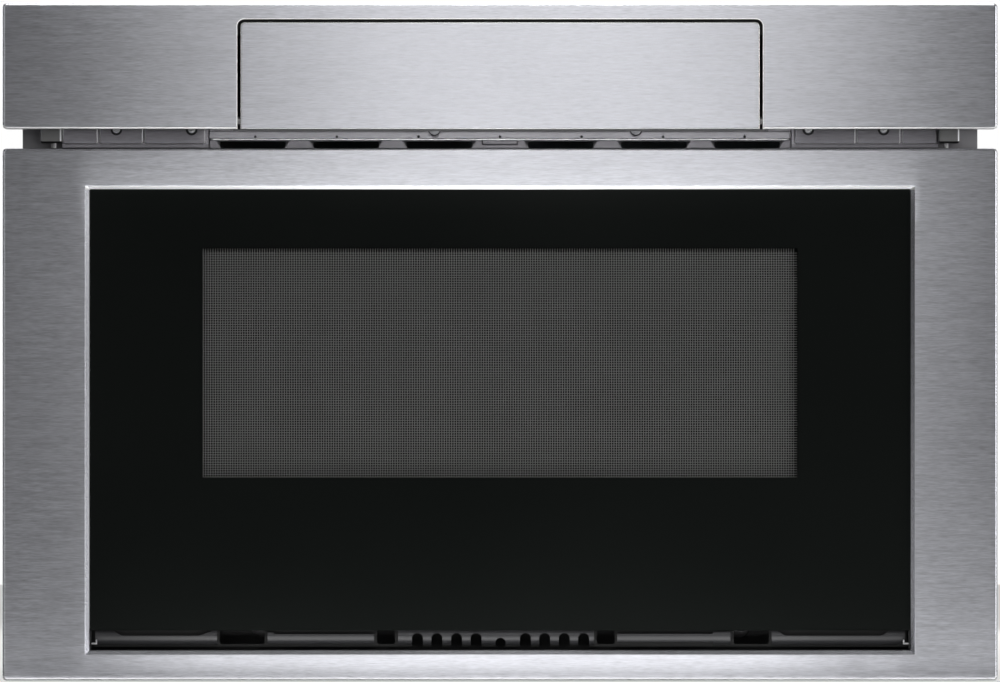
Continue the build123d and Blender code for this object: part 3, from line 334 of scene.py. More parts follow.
# %% Zinc sheet and bright metal
def zinc_sheet(name, tint, crystal=130.0):
    """Zinc coated sheet with frozen crystals."""
    zinc = Finish(name)
    spangle = zinc.cells(crystal, output="Color", feature="F1")
    tone = zinc.node("SeparateXYZ", None, {0: spangle})["X"]
    grime = zinc.noise(4.0, detail=4.0)
    dim = tuple(0.86 * c for c in tint)
    return zinc.set(
        Base_Color=zinc.shade(tone * 0.5 + grime * 0.5, dim, tint),
        Metallic=1.0,
        Roughness=tone * 0.06 + grime * 0.10 + 0.32,
        Normal=zinc.bump(zinc.noise(900.0, detail=2.0), 0.00002, 0.3),
    )


def bright_metal(name, tint, roughness, scale=900.0):
    """Bare metal with a fine grain and a little wear."""
    metal = Finish(name)
    grain = metal.noise(scale)
    wear = metal.noise(30.0, detail=4.0)
    dim = tuple(0.85 * c for c in tint)
    return metal.set(
        Base_Color=metal.shade(wear, dim, tint),
        Metallic=1.0,
        Roughness=grain * 0.06 + wear * 0.08 + (roughness - 0.07),
        Normal=metal.bump(grain, 0.00001, 0.3),
    )


dress(zinc_sheet("zinc_sheet", (0.62, 0.64, 0.66)), "outer_case", "rear_panel", "base_plate",
      "fascia_brackets", "waveguide", "slide_brackets", "switch_bracket")
dress(zinc_sheet("pale_zinc", (0.72, 0.73, 0.74), 200.0), "slide_outer", "slide_middle", "slide_inner")
dress(bright_metal("bright_steel", (0.72, 0.72, 0.71), 0.2), "pinion_shaft", "stirrer")
dress(bright_metal("dull_steel", (0.30, 0.30, 0.30), 0.42, 300.0), "gap_pins", "hinge_pins",
      "stirrer_motor", "fan_motor", "drive_motor", "lamp_holder")
dress(bright_metal("aluminium", (0.78, 0.79, 0.80), 0.38, 250.0), "magnetron", "capacitor")
tell("zinc, steel and aluminium")

# %% [markdown]
# Painted sheet has a fine orange-peel skin. Moulded plastic has a finer grain and flow marks. Both are
# a base colour that drifts a little, and a low bump at the scale of the skin. The web of the grille,
# behind its face, is near black, painted shade in the recess, and the underside of the control well is
# grey: again a tint by place.

# %% Paint and plastic
GRILLE_WEB = -0.2848
WELL_FOOT = 0.33605


def painted(name, tone, roughness=0.4, peel=420.0):
    """Sprayed paint with an orange-peel skin."""
    paint = Finish(name)
    drift = paint.noise(14.0)
    skin = paint.noise(peel, detail=2.0)
    dim = tuple(0.8 * c for c in tone)
    return paint.set(
        Base_Color=paint.shade(drift, dim, tone),
        Roughness=skin * 0.1 + drift * 0.08 + (roughness - 0.09),
        Normal=paint.bump(skin, 0.00006, 0.35),
    )


def moulded(name, tone, roughness=0.45, grain=1500.0):
    """Moulded plastic with a fine grain and flow marks."""
    plastic = Finish(name)
    flow = plastic.noise(22.0)
    skin = plastic.noise(grain, detail=2.0)
    dim = tuple(0.82 * c for c in tone)
    return plastic.set(
        Base_Color=plastic.shade(flow, dim, tone),
        Roughness=skin * 0.12 + flow * 0.06 + (roughness - 0.09),
        Normal=plastic.bump(skin, 0.00004, 0.3),
    )


dress(painted("flange_paint", (0.27, 0.265, 0.278), 0.5), "front_flange")
# painted shade: the carrier is near black, so the bottom gap behind the grille reads as shade
dress(painted("carrier_painted_shade", (0.012, 0.012, 0.013), 0.55), "drawer_carrier")
grille_plastic = moulded("grille_plastic", (0.04, 0.04, 0.043), 0.34)
# painted shade: the grille's web behind its face is near black
grille_plastic.tint(grille_plastic.axis("Y") > GRILLE_WEB, (0.004, 0.004, 0.004))
dress(grille_plastic, "bottom_grille")
dress(painted("cavity_paint", (0.40, 0.41, 0.42), 0.34), "oven_cavity", "drawer_tub")
dress(painted("door_paint", (0.03, 0.03, 0.032), 0.42), "door_pan")
well_plastic = moulded("well_plastic", (0.02, 0.02, 0.021), 0.5)
well_plastic.tint(well_plastic.axis("Z") < WELL_FOOT, (0.20, 0.20, 0.21))
dress(well_plastic, "control_well")
dress(moulded("black_plastic", (0.02, 0.02, 0.021), 0.5), "control_carriage", "choke_cover",
      "button_switches", "interlock_switches", "latch_hooks", "fan_shroud", "fan_blade")
dress(moulded("gear_plastic", (0.62, 0.60, 0.53), 0.45), "drive_rack", "drive_pinion", "drive_gearbox")
dress(moulded("gland_plastic", (0.03, 0.03, 0.03), 0.55), "cord_gland")
tell("paint and plastic")

# %% [markdown]
# Two push buttons hang in the gap under the fascia. Each is a glossy dome, and seen from the front its
# edge has painted shade: a dark ring. The finish tells the ring from the dome by the distance from the
# dome's middle in X and Z, and compares squares, which saves a root. A clear coat gives the sharp shine
# of a polished dome.

# %% Push buttons
BUTTON_X = {"panel_button": -0.040, "drawer_button": 0.0829}
BUTTON_Z = 0.336
DOME_RADIUS = 0.0033


def button_finish(middle_x):
    """A glossy dome with painted shade round its edge."""
    button = moulded("button_plastic", (0.60, 0.60, 0.63), 0.16)
    across, up = button.axis("X") - middle_x, button.axis("Z") - BUTTON_Z
    # painted shade: a dark ring where the dome's edge turns away
    button.tint(across * across + up * up > DOME_RADIUS ** 2, (0.02, 0.02, 0.022))
    return button.set(Coat_Weight=1.0, Coat_Roughness=0.08)


for button_name, middle_x in BUTTON_X.items():
    dress(button_finish(middle_x), button_name)
tell("buttons")

# %% [markdown]
# A plastic block at each end of the gap keeps the fascia's height over the drawer. Its chamfers have a
# pale painted sheen, the right one of each block a white painted highlight, and its foot a painted shadow.
# The chamfers are what lies behind the block's flat face, so a limit in Y finds them, and limits in X find
# the right ones.

# %% Gap blocks
BLOCK_FACE, BLOCK_FOOT = -0.28095, 0.3288
RIGHT_EDGES, EDGE_WIDTH = (-0.2687, 0.2792), 0.002

block_plastic = moulded("block_plastic", (0.19, 0.19, 0.19), 0.4)
chamfer_sheen = block_plastic.axis("Y") > BLOCK_FACE
# painted sheen: the chamfers are paler than the face
block_plastic.tint(chamfer_sheen, (0.30, 0.30, 0.31))
# painted highlight: the right chamfer of each block is white
for edge in RIGHT_EDGES:
    x = block_plastic.axis("X")
    block_plastic.tint(chamfer_sheen * (x > edge) * (x < edge + EDGE_WIDTH), PAINTED_HIGHLIGHT)
# painted shadow: the block's foot is near black
block_plastic.tint(block_plastic.axis("Z") < BLOCK_FOOT, (0.006, 0.006, 0.006))
dress(block_plastic, "gap_blocks")
tell("gap blocks")

# %% [markdown]
# The drawer is lined with a glass-ceramic floor. Its white body is full of fine specks: the middles of
# small cells. The cover of the waveguide is a sheet of mica, pressed from flakes, so there each cell has
# its own tone and height.

# %% Ceramic and mica
ceramic = Finish("ceramic")
speck = ceramic.clamp(ceramic.cells(900.0), 0.1, 0.35)
ceramic.set(Base_Color=ceramic.shade(speck, (0.45, 0.44, 0.42), (0.80, 0.79, 0.76)),
            Roughness=ceramic.noise(60.0) * 0.1 + 0.12, IOR=1.5)
dress(ceramic, "tub_tray")

mica = Finish("mica")
flake = mica.cells(160.0, (1, 1, 3), "Color")
fleck = mica.node("SeparateXYZ", None, {0: flake})["X"]
mica.set(Base_Color=mica.shade(fleck, (0.42, 0.36, 0.27), (0.62, 0.57, 0.47)),
         Roughness=fleck * 0.25 + 0.3, Normal=mica.bump(fleck, 0.00005, 0.4))
dress(mica, "waveguide_cover")
tell("ceramic and mica")

# %% [markdown]
# A circuit board is green lacquer over copper lanes. Cells measured in city blocks have straight borders,
# which look like lanes, and a step in the mask gives the lanes their edge and their height.

# %% Circuit boards
board = Finish("board")
lane = board.cells(260.0, distance="MANHATTAN", feature="F1")
copper = board.clamp(lane, 0.3, 0.34)
board.set(Base_Color=board.shade(copper, (0.012, 0.09, 0.035), (0.02, 0.15, 0.06)),
          Roughness=0.3 + copper * 0.1, Normal=board.bump(copper, 0.00003, 0.5))
dress(board, "power_board", "control_board", "noise_filter")
tell("boards")

# %% [markdown]
# The transformer is a core of thin sheets with coils of lacquered wire. The turns of the wire are a wave
# that rises and falls with Z, once for each wire, and the sheets of the core are a saw-tooth in Y. Real
# turns would cost thousands of faces inside a closed case.

# %% Windings and core
WIRE_STEP, SHEET_STEP = 0.0011, 0.0005

winding = Finish("winding")
turn = winding.axis("Z") / WIRE_STEP % 1.0
round_wire = winding.node("Math", {"operation": "PINGPONG"}, {0: turn, 1: 0.5})
# painted shade and highlight: each turn is dark at its edges, between the wires, and bright on its crown
winding.set(Base_Color=winding.shade(round_wire * 2, (0.12, 0.028, 0.01), (0.62, 0.2, 0.07)),
            Metallic=0.85, Roughness=0.32 + winding.noise(40.0) * 0.1,
            Normal=winding.bump(round_wire, 0.0004, 0.8))
dress(winding, "transformer_windings")

core = Finish("laminated_core")
sheet = core.axis("Y") / SHEET_STEP % 1.0
edge_rust = core.noise(35.0, detail=4.0)
core.set(Base_Color=core.shade(edge_rust, (0.10, 0.10, 0.11), (0.22, 0.2, 0.18)), Metallic=0.7,
         Roughness=0.45 + edge_rust * 0.2, Normal=core.bump(sheet, 0.00008, 0.6))
dress(core, "transformer_core")
tell("windings and core")

# %% [markdown]
# The bulb of the oven lamp is clear glass, a little clouded by heat. Part of the light passes straight
# through it, by its alpha, which renders faster than real refraction in such a small bulb.

# %% Bulb glass
bulb = Finish("bulb_glass")
bulb.set(Base_Color=bulb.shade(bulb.noise(50.0), (0.7, 0.7, 0.66), (0.9, 0.9, 0.86)),
         Roughness=0.08 + bulb.noise(90.0) * 0.05, Alpha=0.55, IOR=1.5)
dress(bulb, "lamp_bulb")
tell("bulb")

# %% [markdown]
# Now come the new pieces. They are modelled as by hand: a primitive is added at its size and place, and
# then shaped. An operator acts on all that is selected, so each tool first clears the selection.

# %% Boxes, rows and joins
def clear_selection():
    """Leave edit mode and select nothing."""
    if bpy.context.object and bpy.context.object.mode != "OBJECT":
        bpy.ops.object.mode_set(mode="OBJECT")
    bpy.ops.object.select_all(action="DESELECT")


def box_piece(name, low, high):
    """A primitive cube at its size and place, with its place in its mesh."""
    clear_selection()
    middle = [(a + b) / 2 for a, b in zip(low, high)]
    bpy.ops.mesh.primitive_cube_add(size=1, location=middle)
    piece = bpy.context.object
    piece.name = name
    piece.scale = [b - a for a, b in zip(low, high)]
    bpy.ops.object.transform_apply(location=True, rotation=True, scale=True)
    return piece


def apply_modifier(piece, kind, **settings):
    """Add a modifier with its settings and apply it."""
    tool = piece.modifiers.new(kind.lower(), kind)
    for key, value in settings.items():
        setattr(tool, key, value)
    bpy.context.view_layer.objects.active = piece
    bpy.ops.object.modifier_apply(modifier=tool.name)
    return piece


def row(piece, count, step):
    """Repeat a piece in a straight row, all one mesh."""
    return apply_modifier(piece, "ARRAY", count=count, use_relative_offset=False,
                          use_constant_offset=True, constant_offset_displace=step)


def join(name, *pieces):
    """Make one named piece of several."""
    clear_selection()
    for piece in pieces:
        piece.select_set(True)
    bpy.context.view_layer.objects.active = pieces[0]
    bpy.ops.object.join()
    pieces[0].name = name
    return pieces[0]


print("box tools ready")

# %% [markdown]
# Behind the clear window lies a perforated steel screen that keeps the microwaves in. Through the glass
# it reads as a fine grid of light lines on dark holes. A texture would shimmer and has no depth, so the
# grid is modelled: one thin bar, copied by an array modifier into a row of uprights, and another into a
# row of crossbars behind them.

# %% Window screen
SCREEN_X, SCREEN_Y, SCREEN_Z = (-0.1812, 0.1812), (-0.28995, -0.28945), (0.1238, 0.2633)
PITCH, BAR_WIDTH = 0.0015, 0.00042

(left, right), (face, back), (foot, top) = SCREEN_X, SCREEN_Y, SCREEN_Z
columns, rows = int((right - left) / PITCH), int((top - foot) / PITCH)
between = face + (back - face) / 2
upright = box_piece("upright", (left, face, foot), (left + BAR_WIDTH, between, top))
uprights = row(upright, columns, (PITCH, 0, 0))
crossbar = box_piece("crossbar", (left, between, foot), (right, back, foot + BAR_WIDTH))
crossbars = row(crossbar, rows, (0, 0, PITCH))
window_mesh = join("window_mesh", uprights, crossbars)
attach(window_mesh, "drawer")
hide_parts("window_screen")

screen_steel = Finish("screen_steel")
tarnish = screen_steel.noise(40.0)
screen_steel.set(Base_Color=screen_steel.shade(tarnish, (0.245, 0.245, 0.245), (0.3, 0.3, 0.3)),
                 Metallic=0.2, Roughness=0.45 + tarnish * 0.1)
window_mesh.data.materials.append(screen_steel.material)
print("window mesh:", columns, "uprights,", rows, "crossbars,", len(window_mesh.data.polygons), "faces")

# %% [markdown]
# The small fasteners are modelled here. A pan-head screw is a short cylinder. Its upper rim is rounded
# by a bevel, and a boolean cuts the cross recess with two tapered arms. It could be turned as a profile,
# but the recess would need the boolean all the same. One head is made for each size and copied to its
# places.

# %% Tools for small pieces
def pick_faces(piece, wanted):
    """Enter edit mode with only the wanted faces selected."""
    clear_selection()
    bpy.context.view_layer.objects.active = piece
    piece.select_set(True)
    bpy.ops.object.mode_set(mode="EDIT")
    bpy.ops.mesh.select_mode(type="FACE")
    bpy.ops.mesh.select_all(action="DESELECT")
    bpy.ops.object.mode_set(mode="OBJECT")
    for face in piece.data.polygons:
        face.select = wanted(face)
    bpy.ops.object.mode_set(mode="EDIT")


def cut(piece, cutter):
    """Take one piece away from another, and remove it."""
    apply_modifier(piece, "BOOLEAN", operation="DIFFERENCE", object=cutter)
    bpy.data.objects.remove(cutter)


def copies(name, piece, places):
    """Copy a piece to each (place, turn in degrees), join the copies, and drop the model."""
    made = []
    for place, turn in places:
        one = piece.copy()
        one.data = piece.data.copy()
        one.location, one.rotation_euler = place, [math.radians(angle) for angle in turn]
        bpy.context.collection.objects.link(one)
        made.append(one)
    bpy.data.objects.remove(piece)
    whole = join(name, *made)
    bpy.ops.object.transform_apply(location=True, rotation=True, scale=True)
    return whole


def disc(name, radius, height, base=0.0, sides=24):
    """A short cylinder on the XY plane with its upper rim rounded."""
    clear_selection()
    bpy.ops.mesh.primitive_cylinder_add(vertices=sides, radius=radius, depth=height,
                                        location=(0, 0, base + height / 2))
    piece = bpy.context.object
    piece.name = name
    bpy.ops.object.transform_apply(location=True, rotation=True, scale=True)
    pick_faces(piece, lambda face: face.normal.z > 0.9)
    bpy.ops.mesh.bevel(offset=height * 0.5, segments=3, affect="EDGES")
    bpy.ops.object.mode_set(mode="OBJECT")
    return piece


ARM_LENGTH, ARM_WIDTH, ARM_TAPER = 0.6, 0.13, 0.6  # the first two are shares of the head's radius


def screw_head(radius, height, base=0.0):
    """A pan head with a cross recess."""
    head = disc("head", radius, height, base)
    for half_x, half_y in ((ARM_LENGTH, ARM_WIDTH), (ARM_WIDTH, ARM_LENGTH)):
        arm = box_piece("arm", (-radius * half_x, -radius * half_y, base + height * 0.4),
                        (radius * half_x, radius * half_y, base + height * 1.3))
        pick_faces(arm, lambda face: face.normal.z < -0.9)
        bpy.ops.transform.resize(value=(ARM_TAPER, ARM_TAPER, 1.0))
        bpy.ops.object.mode_set(mode="OBJECT")
        cut(head, arm)
    return head


print("small-piece tools ready")

# %% [markdown]
# Two screws stand in the gap on each side of the louver. Their heads show a dark rim round a bright
# middle. The rim is painted shade: a wide flat disc of near-black steel under the pan head, so each is two
# pieces. Both are made lying on the floor, looking up, and each copy is turned to look out of the front.

# %% Gap screws
TO_FRONT, TO_BACK, TO_RIGHT, TO_LEFT, UP = (90, 0, 0), (-90, 0, 0), (0, 90, 0), (0, -90, 0), (0, 0, 0)
SIDES = (-1, 1)
SCREW_X, SCREW_Y, SCREW_Z = (0.1882, 0.2342), -0.2704, 0.3360
GAP_SCREWS = [((side * x, SCREW_Y, SCREW_Z), TO_FRONT) for side in SIDES for x in SCREW_X]
FLANGE_HEIGHT = 0.0009

flanges = copies("gap_screw_flanges", disc("flange", 0.0036, FLANGE_HEIGHT), GAP_SCREWS)
heads = copies("gap_screw_heads", screw_head(0.0023, 0.0013, FLANGE_HEIGHT), GAP_SCREWS)
for piece in (flanges, heads):
    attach(piece, "chassis")
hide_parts("gap_screws")
# painted shade: the near-black disc under each head makes the dark rim
rim_shade = bright_metal("screw_rim_shade", (0.05, 0.05, 0.052), 0.35)
flanges.data.materials.append(rim_shade.material)
screw_steel = bright_metal("screw_steel", (0.92, 0.92, 0.94), 0.3)
heads.data.materials.append(screw_steel.material)
print(len(GAP_SCREWS), "gap screws,", len(heads.data.polygons), "faces")

# %% [markdown]
# Over the louver's lip runs a row of small round holes, each darkened by painted shade: a tiny black disc
# like the flanges, in a row that is even on both sides of the middle.

# %% Painted shade in the louver holes
HOLES_A_SIDE, HOLE_STEP = 3, 0.0498
HOLE_Y, HOLE_Z = -0.2694, 0.3316
LOUVER_HOLES = [((i * HOLE_STEP, HOLE_Y, HOLE_Z), TO_FRONT) for i in range(-HOLES_A_SIDE, HOLES_A_SIDE + 1)]

hole_shades = copies("louver_hole_shades", disc("hole_shade", 0.00078, 0.0005), LOUVER_HOLES)
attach(hole_shades, "chassis")
# painted shade: near-black discs that darken the holes
hole_shades.data.materials.append(moulded("hole_shade_black", (0.01, 0.01, 0.01), 0.6).material)
print(len(LOUVER_HOLES), "liners,", len(hole_shades.data.polygons), "faces")

# %% [markdown]
# The sheet case is screwed along its seams: to the back panel, to the base and the front on each side,
# across the top and through the flange. Four more screws hold the fan, and one holds the cord gland. The
# heads are the same pan head, larger. They show from behind, from above and with the drawer open.

# %% Case screws
REAR, CASE_SIDE, CASE_TOP, FLANGE = 0.2920, 0.2778, 0.3870, -0.2602
BASE_SEAM, TOP_SEAM, FRONT_SEAM = 0.028, 0.376, -0.245
FAN_MIDDLE, FAN_REACH = (-0.150, 0.200), 0.044
GLAND_SCREW = (0.215, REAR, 0.070)


def on_sides(ys, zs):
    """The places of screws on both sides of the case, looking outwards."""
    return [((side * CASE_SIDE, y, z), TO_RIGHT if side > 0 else TO_LEFT)
            for side in SIDES for y in ys for z in zs]


case_places = [((x, REAR, z), TO_BACK) for x in (-0.268, 0.268) for z in (BASE_SEAM, 0.200, TOP_SEAM)]
case_places += [((x, REAR, z), TO_BACK) for x in (-0.134, 0.0, 0.134) for z in (BASE_SEAM, TOP_SEAM)]
case_places += [((FAN_MIDDLE[0] + FAN_REACH * i, REAR, FAN_MIDDLE[1] + FAN_REACH * j), TO_BACK)
                for i in SIDES for j in SIDES]
case_places += [(GLAND_SCREW, TO_BACK)]
case_places += on_sides((FRONT_SEAM, -0.080, 0.080, 0.240), (BASE_SEAM,))
case_places += on_sides((FRONT_SEAM,), (0.200, 0.372))
case_places += [((x, y, CASE_TOP), UP) for x in (-0.230, 0.0, 0.230) for y in (-0.246, 0.278)]
case_places += [((side * 0.270, FLANGE, z), TO_FRONT) for side in SIDES for z in (0.035, 0.150, 0.270)]
case_screws = copies("case_screws", screw_head(0.0036, 0.0016), case_places)
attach(case_screws, "chassis")
case_screws.data.materials.append(bright_metal("case_screw_steel", (0.70, 0.70, 0.69), 0.3).material)
print(len(case_places), "case screws,", len(case_screws.data.polygons), "faces")

# %% [markdown]
# Two pieces close the gap at the louver's upper ends: a small plate on each side, with a rounded edge.
# At the foot of the glass a wire hook in each corner holds the pane. It is a level leg with a short
# upright leg, seen end on, so it is made of two bevelled bars. Each piece is given for the right side,
# and its box is mirrored as numbers, because a mirrored mesh would be inside out.

# %% Louver ears and glass hooks
EAR = ((0.1632, -0.2700, 0.3349), (0.1774, -0.2688, 0.3430))
HOOK_LEG = ((0.2456, -0.2938, 0.0220), (0.2490, -0.2886, 0.0230))
HOOK_UPRIGHT = ((0.2456, -0.2938, 0.0230), (0.2465, -0.2886, 0.0248))


def soft_box(name, low, high, radius):
    """A box with rounded edges."""
    return apply_modifier(box_piece(name, low, high), "BEVEL", width=radius, segments=2)


def mirrored(low, high):
    """The same box on the other side of the object."""
    return (-high[0], low[1], low[2]), (-low[0], high[1], high[2])


def pair(name, radius, *boxes):
    """Rounded boxes given for the right side, and the same ones on the left."""
    pieces = [soft_box(name, *box, radius) for box in boxes]
    pieces += [soft_box(name, *mirrored(*box), radius) for box in boxes]
    return join(name, *pieces)


ears = pair("louver_ears", 0.0003, EAR)
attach(ears, "chassis")
ears.data.materials.append(louver_steel.material)

hooks = pair("glass_hooks", 0.0002, HOOK_LEG, HOOK_UPRIGHT)
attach(hooks, "drawer")
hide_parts("corner_clips")
hooks.data.materials.append(bright_metal("hook_steel", (0.55, 0.55, 0.56), 0.35).material)
print("ears and hooks:", len(ears.data.polygons), "and", len(hooks.data.polygons), "faces")

# %% [markdown]
# The control glass shows its face when the panel swings out. A pale print on it outlines the keys and
# numbers the digit keys, and a clock shows in bars of light. Print could be a texture, but thin raised
# shapes stay sharp at any distance. All of it is drawn flat, then turned onto the glass.

# %% Tools for the print
GLASS_FACE = (0.0, -0.26411, 0.37043)     # the middle of the outer face
SLOPE_TURN = math.atan2(-0.7871, 0.6168)  # from level to the slope, about X
INK = 0.00005                             # how thick the print is


def key_frame(x, y, half_x, half_y, line=0.0004):
    """The outline of a key with cut corners: a plane, corners bevelled, inset, opened, given its ink."""
    clear_selection()
    bpy.ops.mesh.primitive_plane_add(size=1, location=(x, y, 0))
    outline = bpy.context.object
    outline.scale = (half_x * 2, half_y * 2, 1)
    bpy.ops.object.transform_apply(location=True, rotation=True, scale=True)
    pick_faces(outline, lambda face: True)
    bpy.ops.mesh.bevel(offset=half_y * 0.35, segments=3, affect="VERTICES")
    bpy.ops.mesh.select_all(action="SELECT")
    bpy.ops.mesh.inset(thickness=line, use_boundary=True)
    bpy.ops.mesh.delete(type="FACE")
    bpy.ops.mesh.select_all(action="SELECT")
    bpy.ops.mesh.extrude_region_move(TRANSFORM_OT_translate={"value": (0, 0, INK)})
    bpy.ops.object.mode_set(mode="OBJECT")
    return outline


def numeral(text, x, y, size):
    """A digit, made a mesh before it is put in its place."""
    clear_selection()
    bpy.ops.object.text_add(location=(0, 0, 0))
    figure = bpy.context.object
    figure.data.body, figure.data.size, figure.data.extrude = text, size, INK / 2
    figure.data.align_x, figure.data.align_y = "CENTER", "CENTER"
    figure.data.resolution_u = 4
    bpy.ops.object.convert(target="MESH")
    figure.location = (x, y, INK / 2)
    bpy.ops.object.transform_apply(location=True, rotation=False, scale=False)
    return figure


def bar(x, y, half_x, half_y):
    """A flat bar with tapered ends."""
    piece = box_piece("bar", (x - half_x, y - half_y, 0), (x + half_x, y + half_y, INK))
    pick_faces(piece, lambda face: abs(face.normal.x if half_x > half_y else face.normal.y) > 0.9)
    bpy.ops.transform.resize(value=(1, 0.4, 1) if half_x > half_y else (0.4, 1, 1))
    bpy.ops.object.mode_set(mode="OBJECT")
    return piece


def onto_glass(piece, name, body="control_panel"):
    """Turn a flat drawing onto the slope of the glass."""
    clear_selection()
    piece.select_set(True)
    bpy.context.view_layer.objects.active = piece
    piece.name = name
    piece.location, piece.rotation_euler = GLASS_FACE, (SLOPE_TURN, 0, 0)
    bpy.ops.object.transform_apply(location=True, rotation=True, scale=True)
    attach(piece, body)
    return piece


print("print tools ready, the glass slopes at", round(math.degrees(SLOPE_TURN)), "degrees")

# %% [markdown]
# Ten digit keys stand on the right of the glass and ten keys with plain signs on the left, each ten in
# two rows of five. The signs are made of bars and frames, one kind to a column, and most grow by a step
# in the second row. Three wide keys stand in the middle: open, stop and start.

# %% Keys
KEY, KEY_PITCH, KEY_ROWS = (0.0078, 0.0058), 0.0185, (0.0095, -0.0055)
COLUMNS = 5
FIRST_COLUMN = 0.058
DIGIT_SIZE = 0.0075
WIDE_KEY = (0.0125, KEY[1])
OPEN_KEY, STOP_KEY, START_KEY = ((x, -0.0205) for x in (-0.030, 0.0, 0.030))


def key_sign(column, level, x, y):
    """The sign on a key: rising bars, level bars, a tall frame, a cone of bars or a wide frame."""
    if column == 0:
        return [bar(x + (j - 1) * 0.0024, y + (j - 2) * 0.0005, 0.0005, 0.0010 + j * 0.0005)
                for j in range(3)]
    if column == 1:
        return [bar(x, y + (j - level / 2) * 0.0018, 0.0030, 0.00035) for j in range(level + 1)]
    if column == 2:
        return [key_frame(x, y, 0.0012 + level * 0.0008, 0.0022)]
    if column == 3:
        return [bar(x, y + j * 0.0012, 0.0022 - j * 0.0008, 0.0003) for j in range(level)]
    return [key_frame(x, y, 0.0028, 0.0010 * level + 0.0006)]


print_pieces = []
for i, text in enumerate("1234567890"):
    x, y = FIRST_COLUMN + i % COLUMNS * KEY_PITCH, KEY_ROWS[i // COLUMNS]
    print_pieces += [key_frame(x, y, *KEY), numeral(text, x, y, DIGIT_SIZE)]
for i in range(10):
    x, y = -FIRST_COLUMN - i % COLUMNS * KEY_PITCH, KEY_ROWS[i // COLUMNS]
    print_pieces += [key_frame(x, y, *KEY), *key_sign(i % COLUMNS, i // COLUMNS + 1, x, y)]
for x, y in (OPEN_KEY, STOP_KEY, START_KEY):
    print_pieces.append(key_frame(x, y, *WIDE_KEY))
print_pieces += [bar(OPEN_KEY[0], OPEN_KEY[1] + j * 0.0016, 0.0040, 0.0004) for j in SIDES]
print_pieces.append(key_frame(*STOP_KEY, 0.0022, 0.0022))
print_pieces.append(key_frame(*START_KEY, 0.0034, 0.0024, 0.0010))
key_print = onto_glass(join("key_print", *print_pieces), "key_print")

ink = Finish("key_ink")
wear = ink.noise(300.0, detail=2.0)
ink.set(Base_Color=ink.shade(wear, (0.62, 0.62, 0.62), (0.78, 0.78, 0.78)), Roughness=wear * 0.1 + 0.45)
key_print.data.materials.append(ink.material)
print("keys:", len(print_pieces), "shapes,", len(key_print.data.polygons), "faces")

# %% [markdown]
# The clock is a row of four seven-bar digits with two points between the hours and the minutes. Only the
# lit bars are made, because the dark ones can't be seen behind black glass. Their finish gives light.

# %% Clock
CLOCK_Y = 0.0080
HALF_DIGIT, HALF_BAR = 0.0030, 0.0005
BARS = {  # where a bar stands, in half digits from the middle, and whether it is level
    "top": (0, 2, True), "middle": (0, 0, True), "bottom": (0, -2, True),
    "upper_left": (-1, 1, False), "upper_right": (1, 1, False),
    "lower_left": (-1, -1, False), "lower_right": (1, -1, False),
}
ONE = ("upper_right", "lower_right")
TWO = ("top", "upper_right", "middle", "lower_left", "bottom")
NOUGHT = ("top", "upper_left", "upper_right", "lower_left", "lower_right", "bottom")


def clock_digit(lit, x):
    """The lit bars of a digit."""
    made = []
    for name in lit:
        i, j, level = BARS[name]
        half_x, half_y = (HALF_DIGIT * 0.8, HALF_BAR) if level else (HALF_BAR, HALF_DIGIT * 0.8)
        made.append(bar(x + i * HALF_DIGIT, CLOCK_Y + j * HALF_DIGIT, half_x, half_y))
    return made


clock = []
for lit, x in ((ONE, -0.0180), (TWO, -0.0070), (NOUGHT, 0.0070), (NOUGHT, 0.0180)):
    clock += clock_digit(lit, x)
clock += [bar(0.0, CLOCK_Y + j * 0.0020, 0.0006, 0.00055) for j in SIDES]
clock_bars = onto_glass(join("clock_bars", *clock), "clock_bars")

glow = Finish("clock_glow")
flicker = glow.noise(400.0, detail=1.0)
glow.set(Base_Color=(0.02, 0.05, 0.05, 1), Roughness=0.4,
         Emission_Color=glow.shade(flicker, (0.35, 0.85, 0.95), (0.5, 0.95, 1.0)), Emission_Strength=1.2)
clock_bars.data.materials.append(glow.material)
print("clock:", len(clock), "bars,", len(clock_bars.data.polygons), "faces")

# %% [markdown]
# The camera stands straight in front, where the photograph was taken. A very long lens from far away
# keeps what stands 27 mm behind the front in its place in the gap, as the photograph shows.

# %% Camera
FRONT_PLANE = -0.297
VIEW_WIDTH, VIEW_MIDDLE_Z = 0.60945, 0.2069
DISTANCE = 16.0

lens = bpy.data.cameras.new("camera")
lens.sensor_width = 36.0
lens.lens = lens.sensor_width * DISTANCE / VIEW_WIDTH
lens.clip_end = 60.0
camera = bpy.data.objects.new("camera", lens)
camera.location = (0.0, FRONT_PLANE - DISTANCE, VIEW_MIDDLE_Z)
camera.rotation_euler = (math.radians(90), 0, 0)
bpy.context.collection.objects.link(camera)
bpy.context.scene.camera = camera
bpy.context.scene.view_settings.view_transform = "Standard"
print("lens", round(lens.lens, 1), "mm")

# %% [markdown]
# The studio floor is pale paper. The soft boxes can't light twelve metres of it evenly, and its far end
# would draw a dark line under the sky. So part of what the camera sees of it is its own light. The Light
# Path node keeps that part for the camera alone, so the paper's own light doesn't fall on the object.

# %% Floor
FLOOR_SIZE = 12
PAPER_GLOW, PAPER_SHARE = 1.0, 0.6

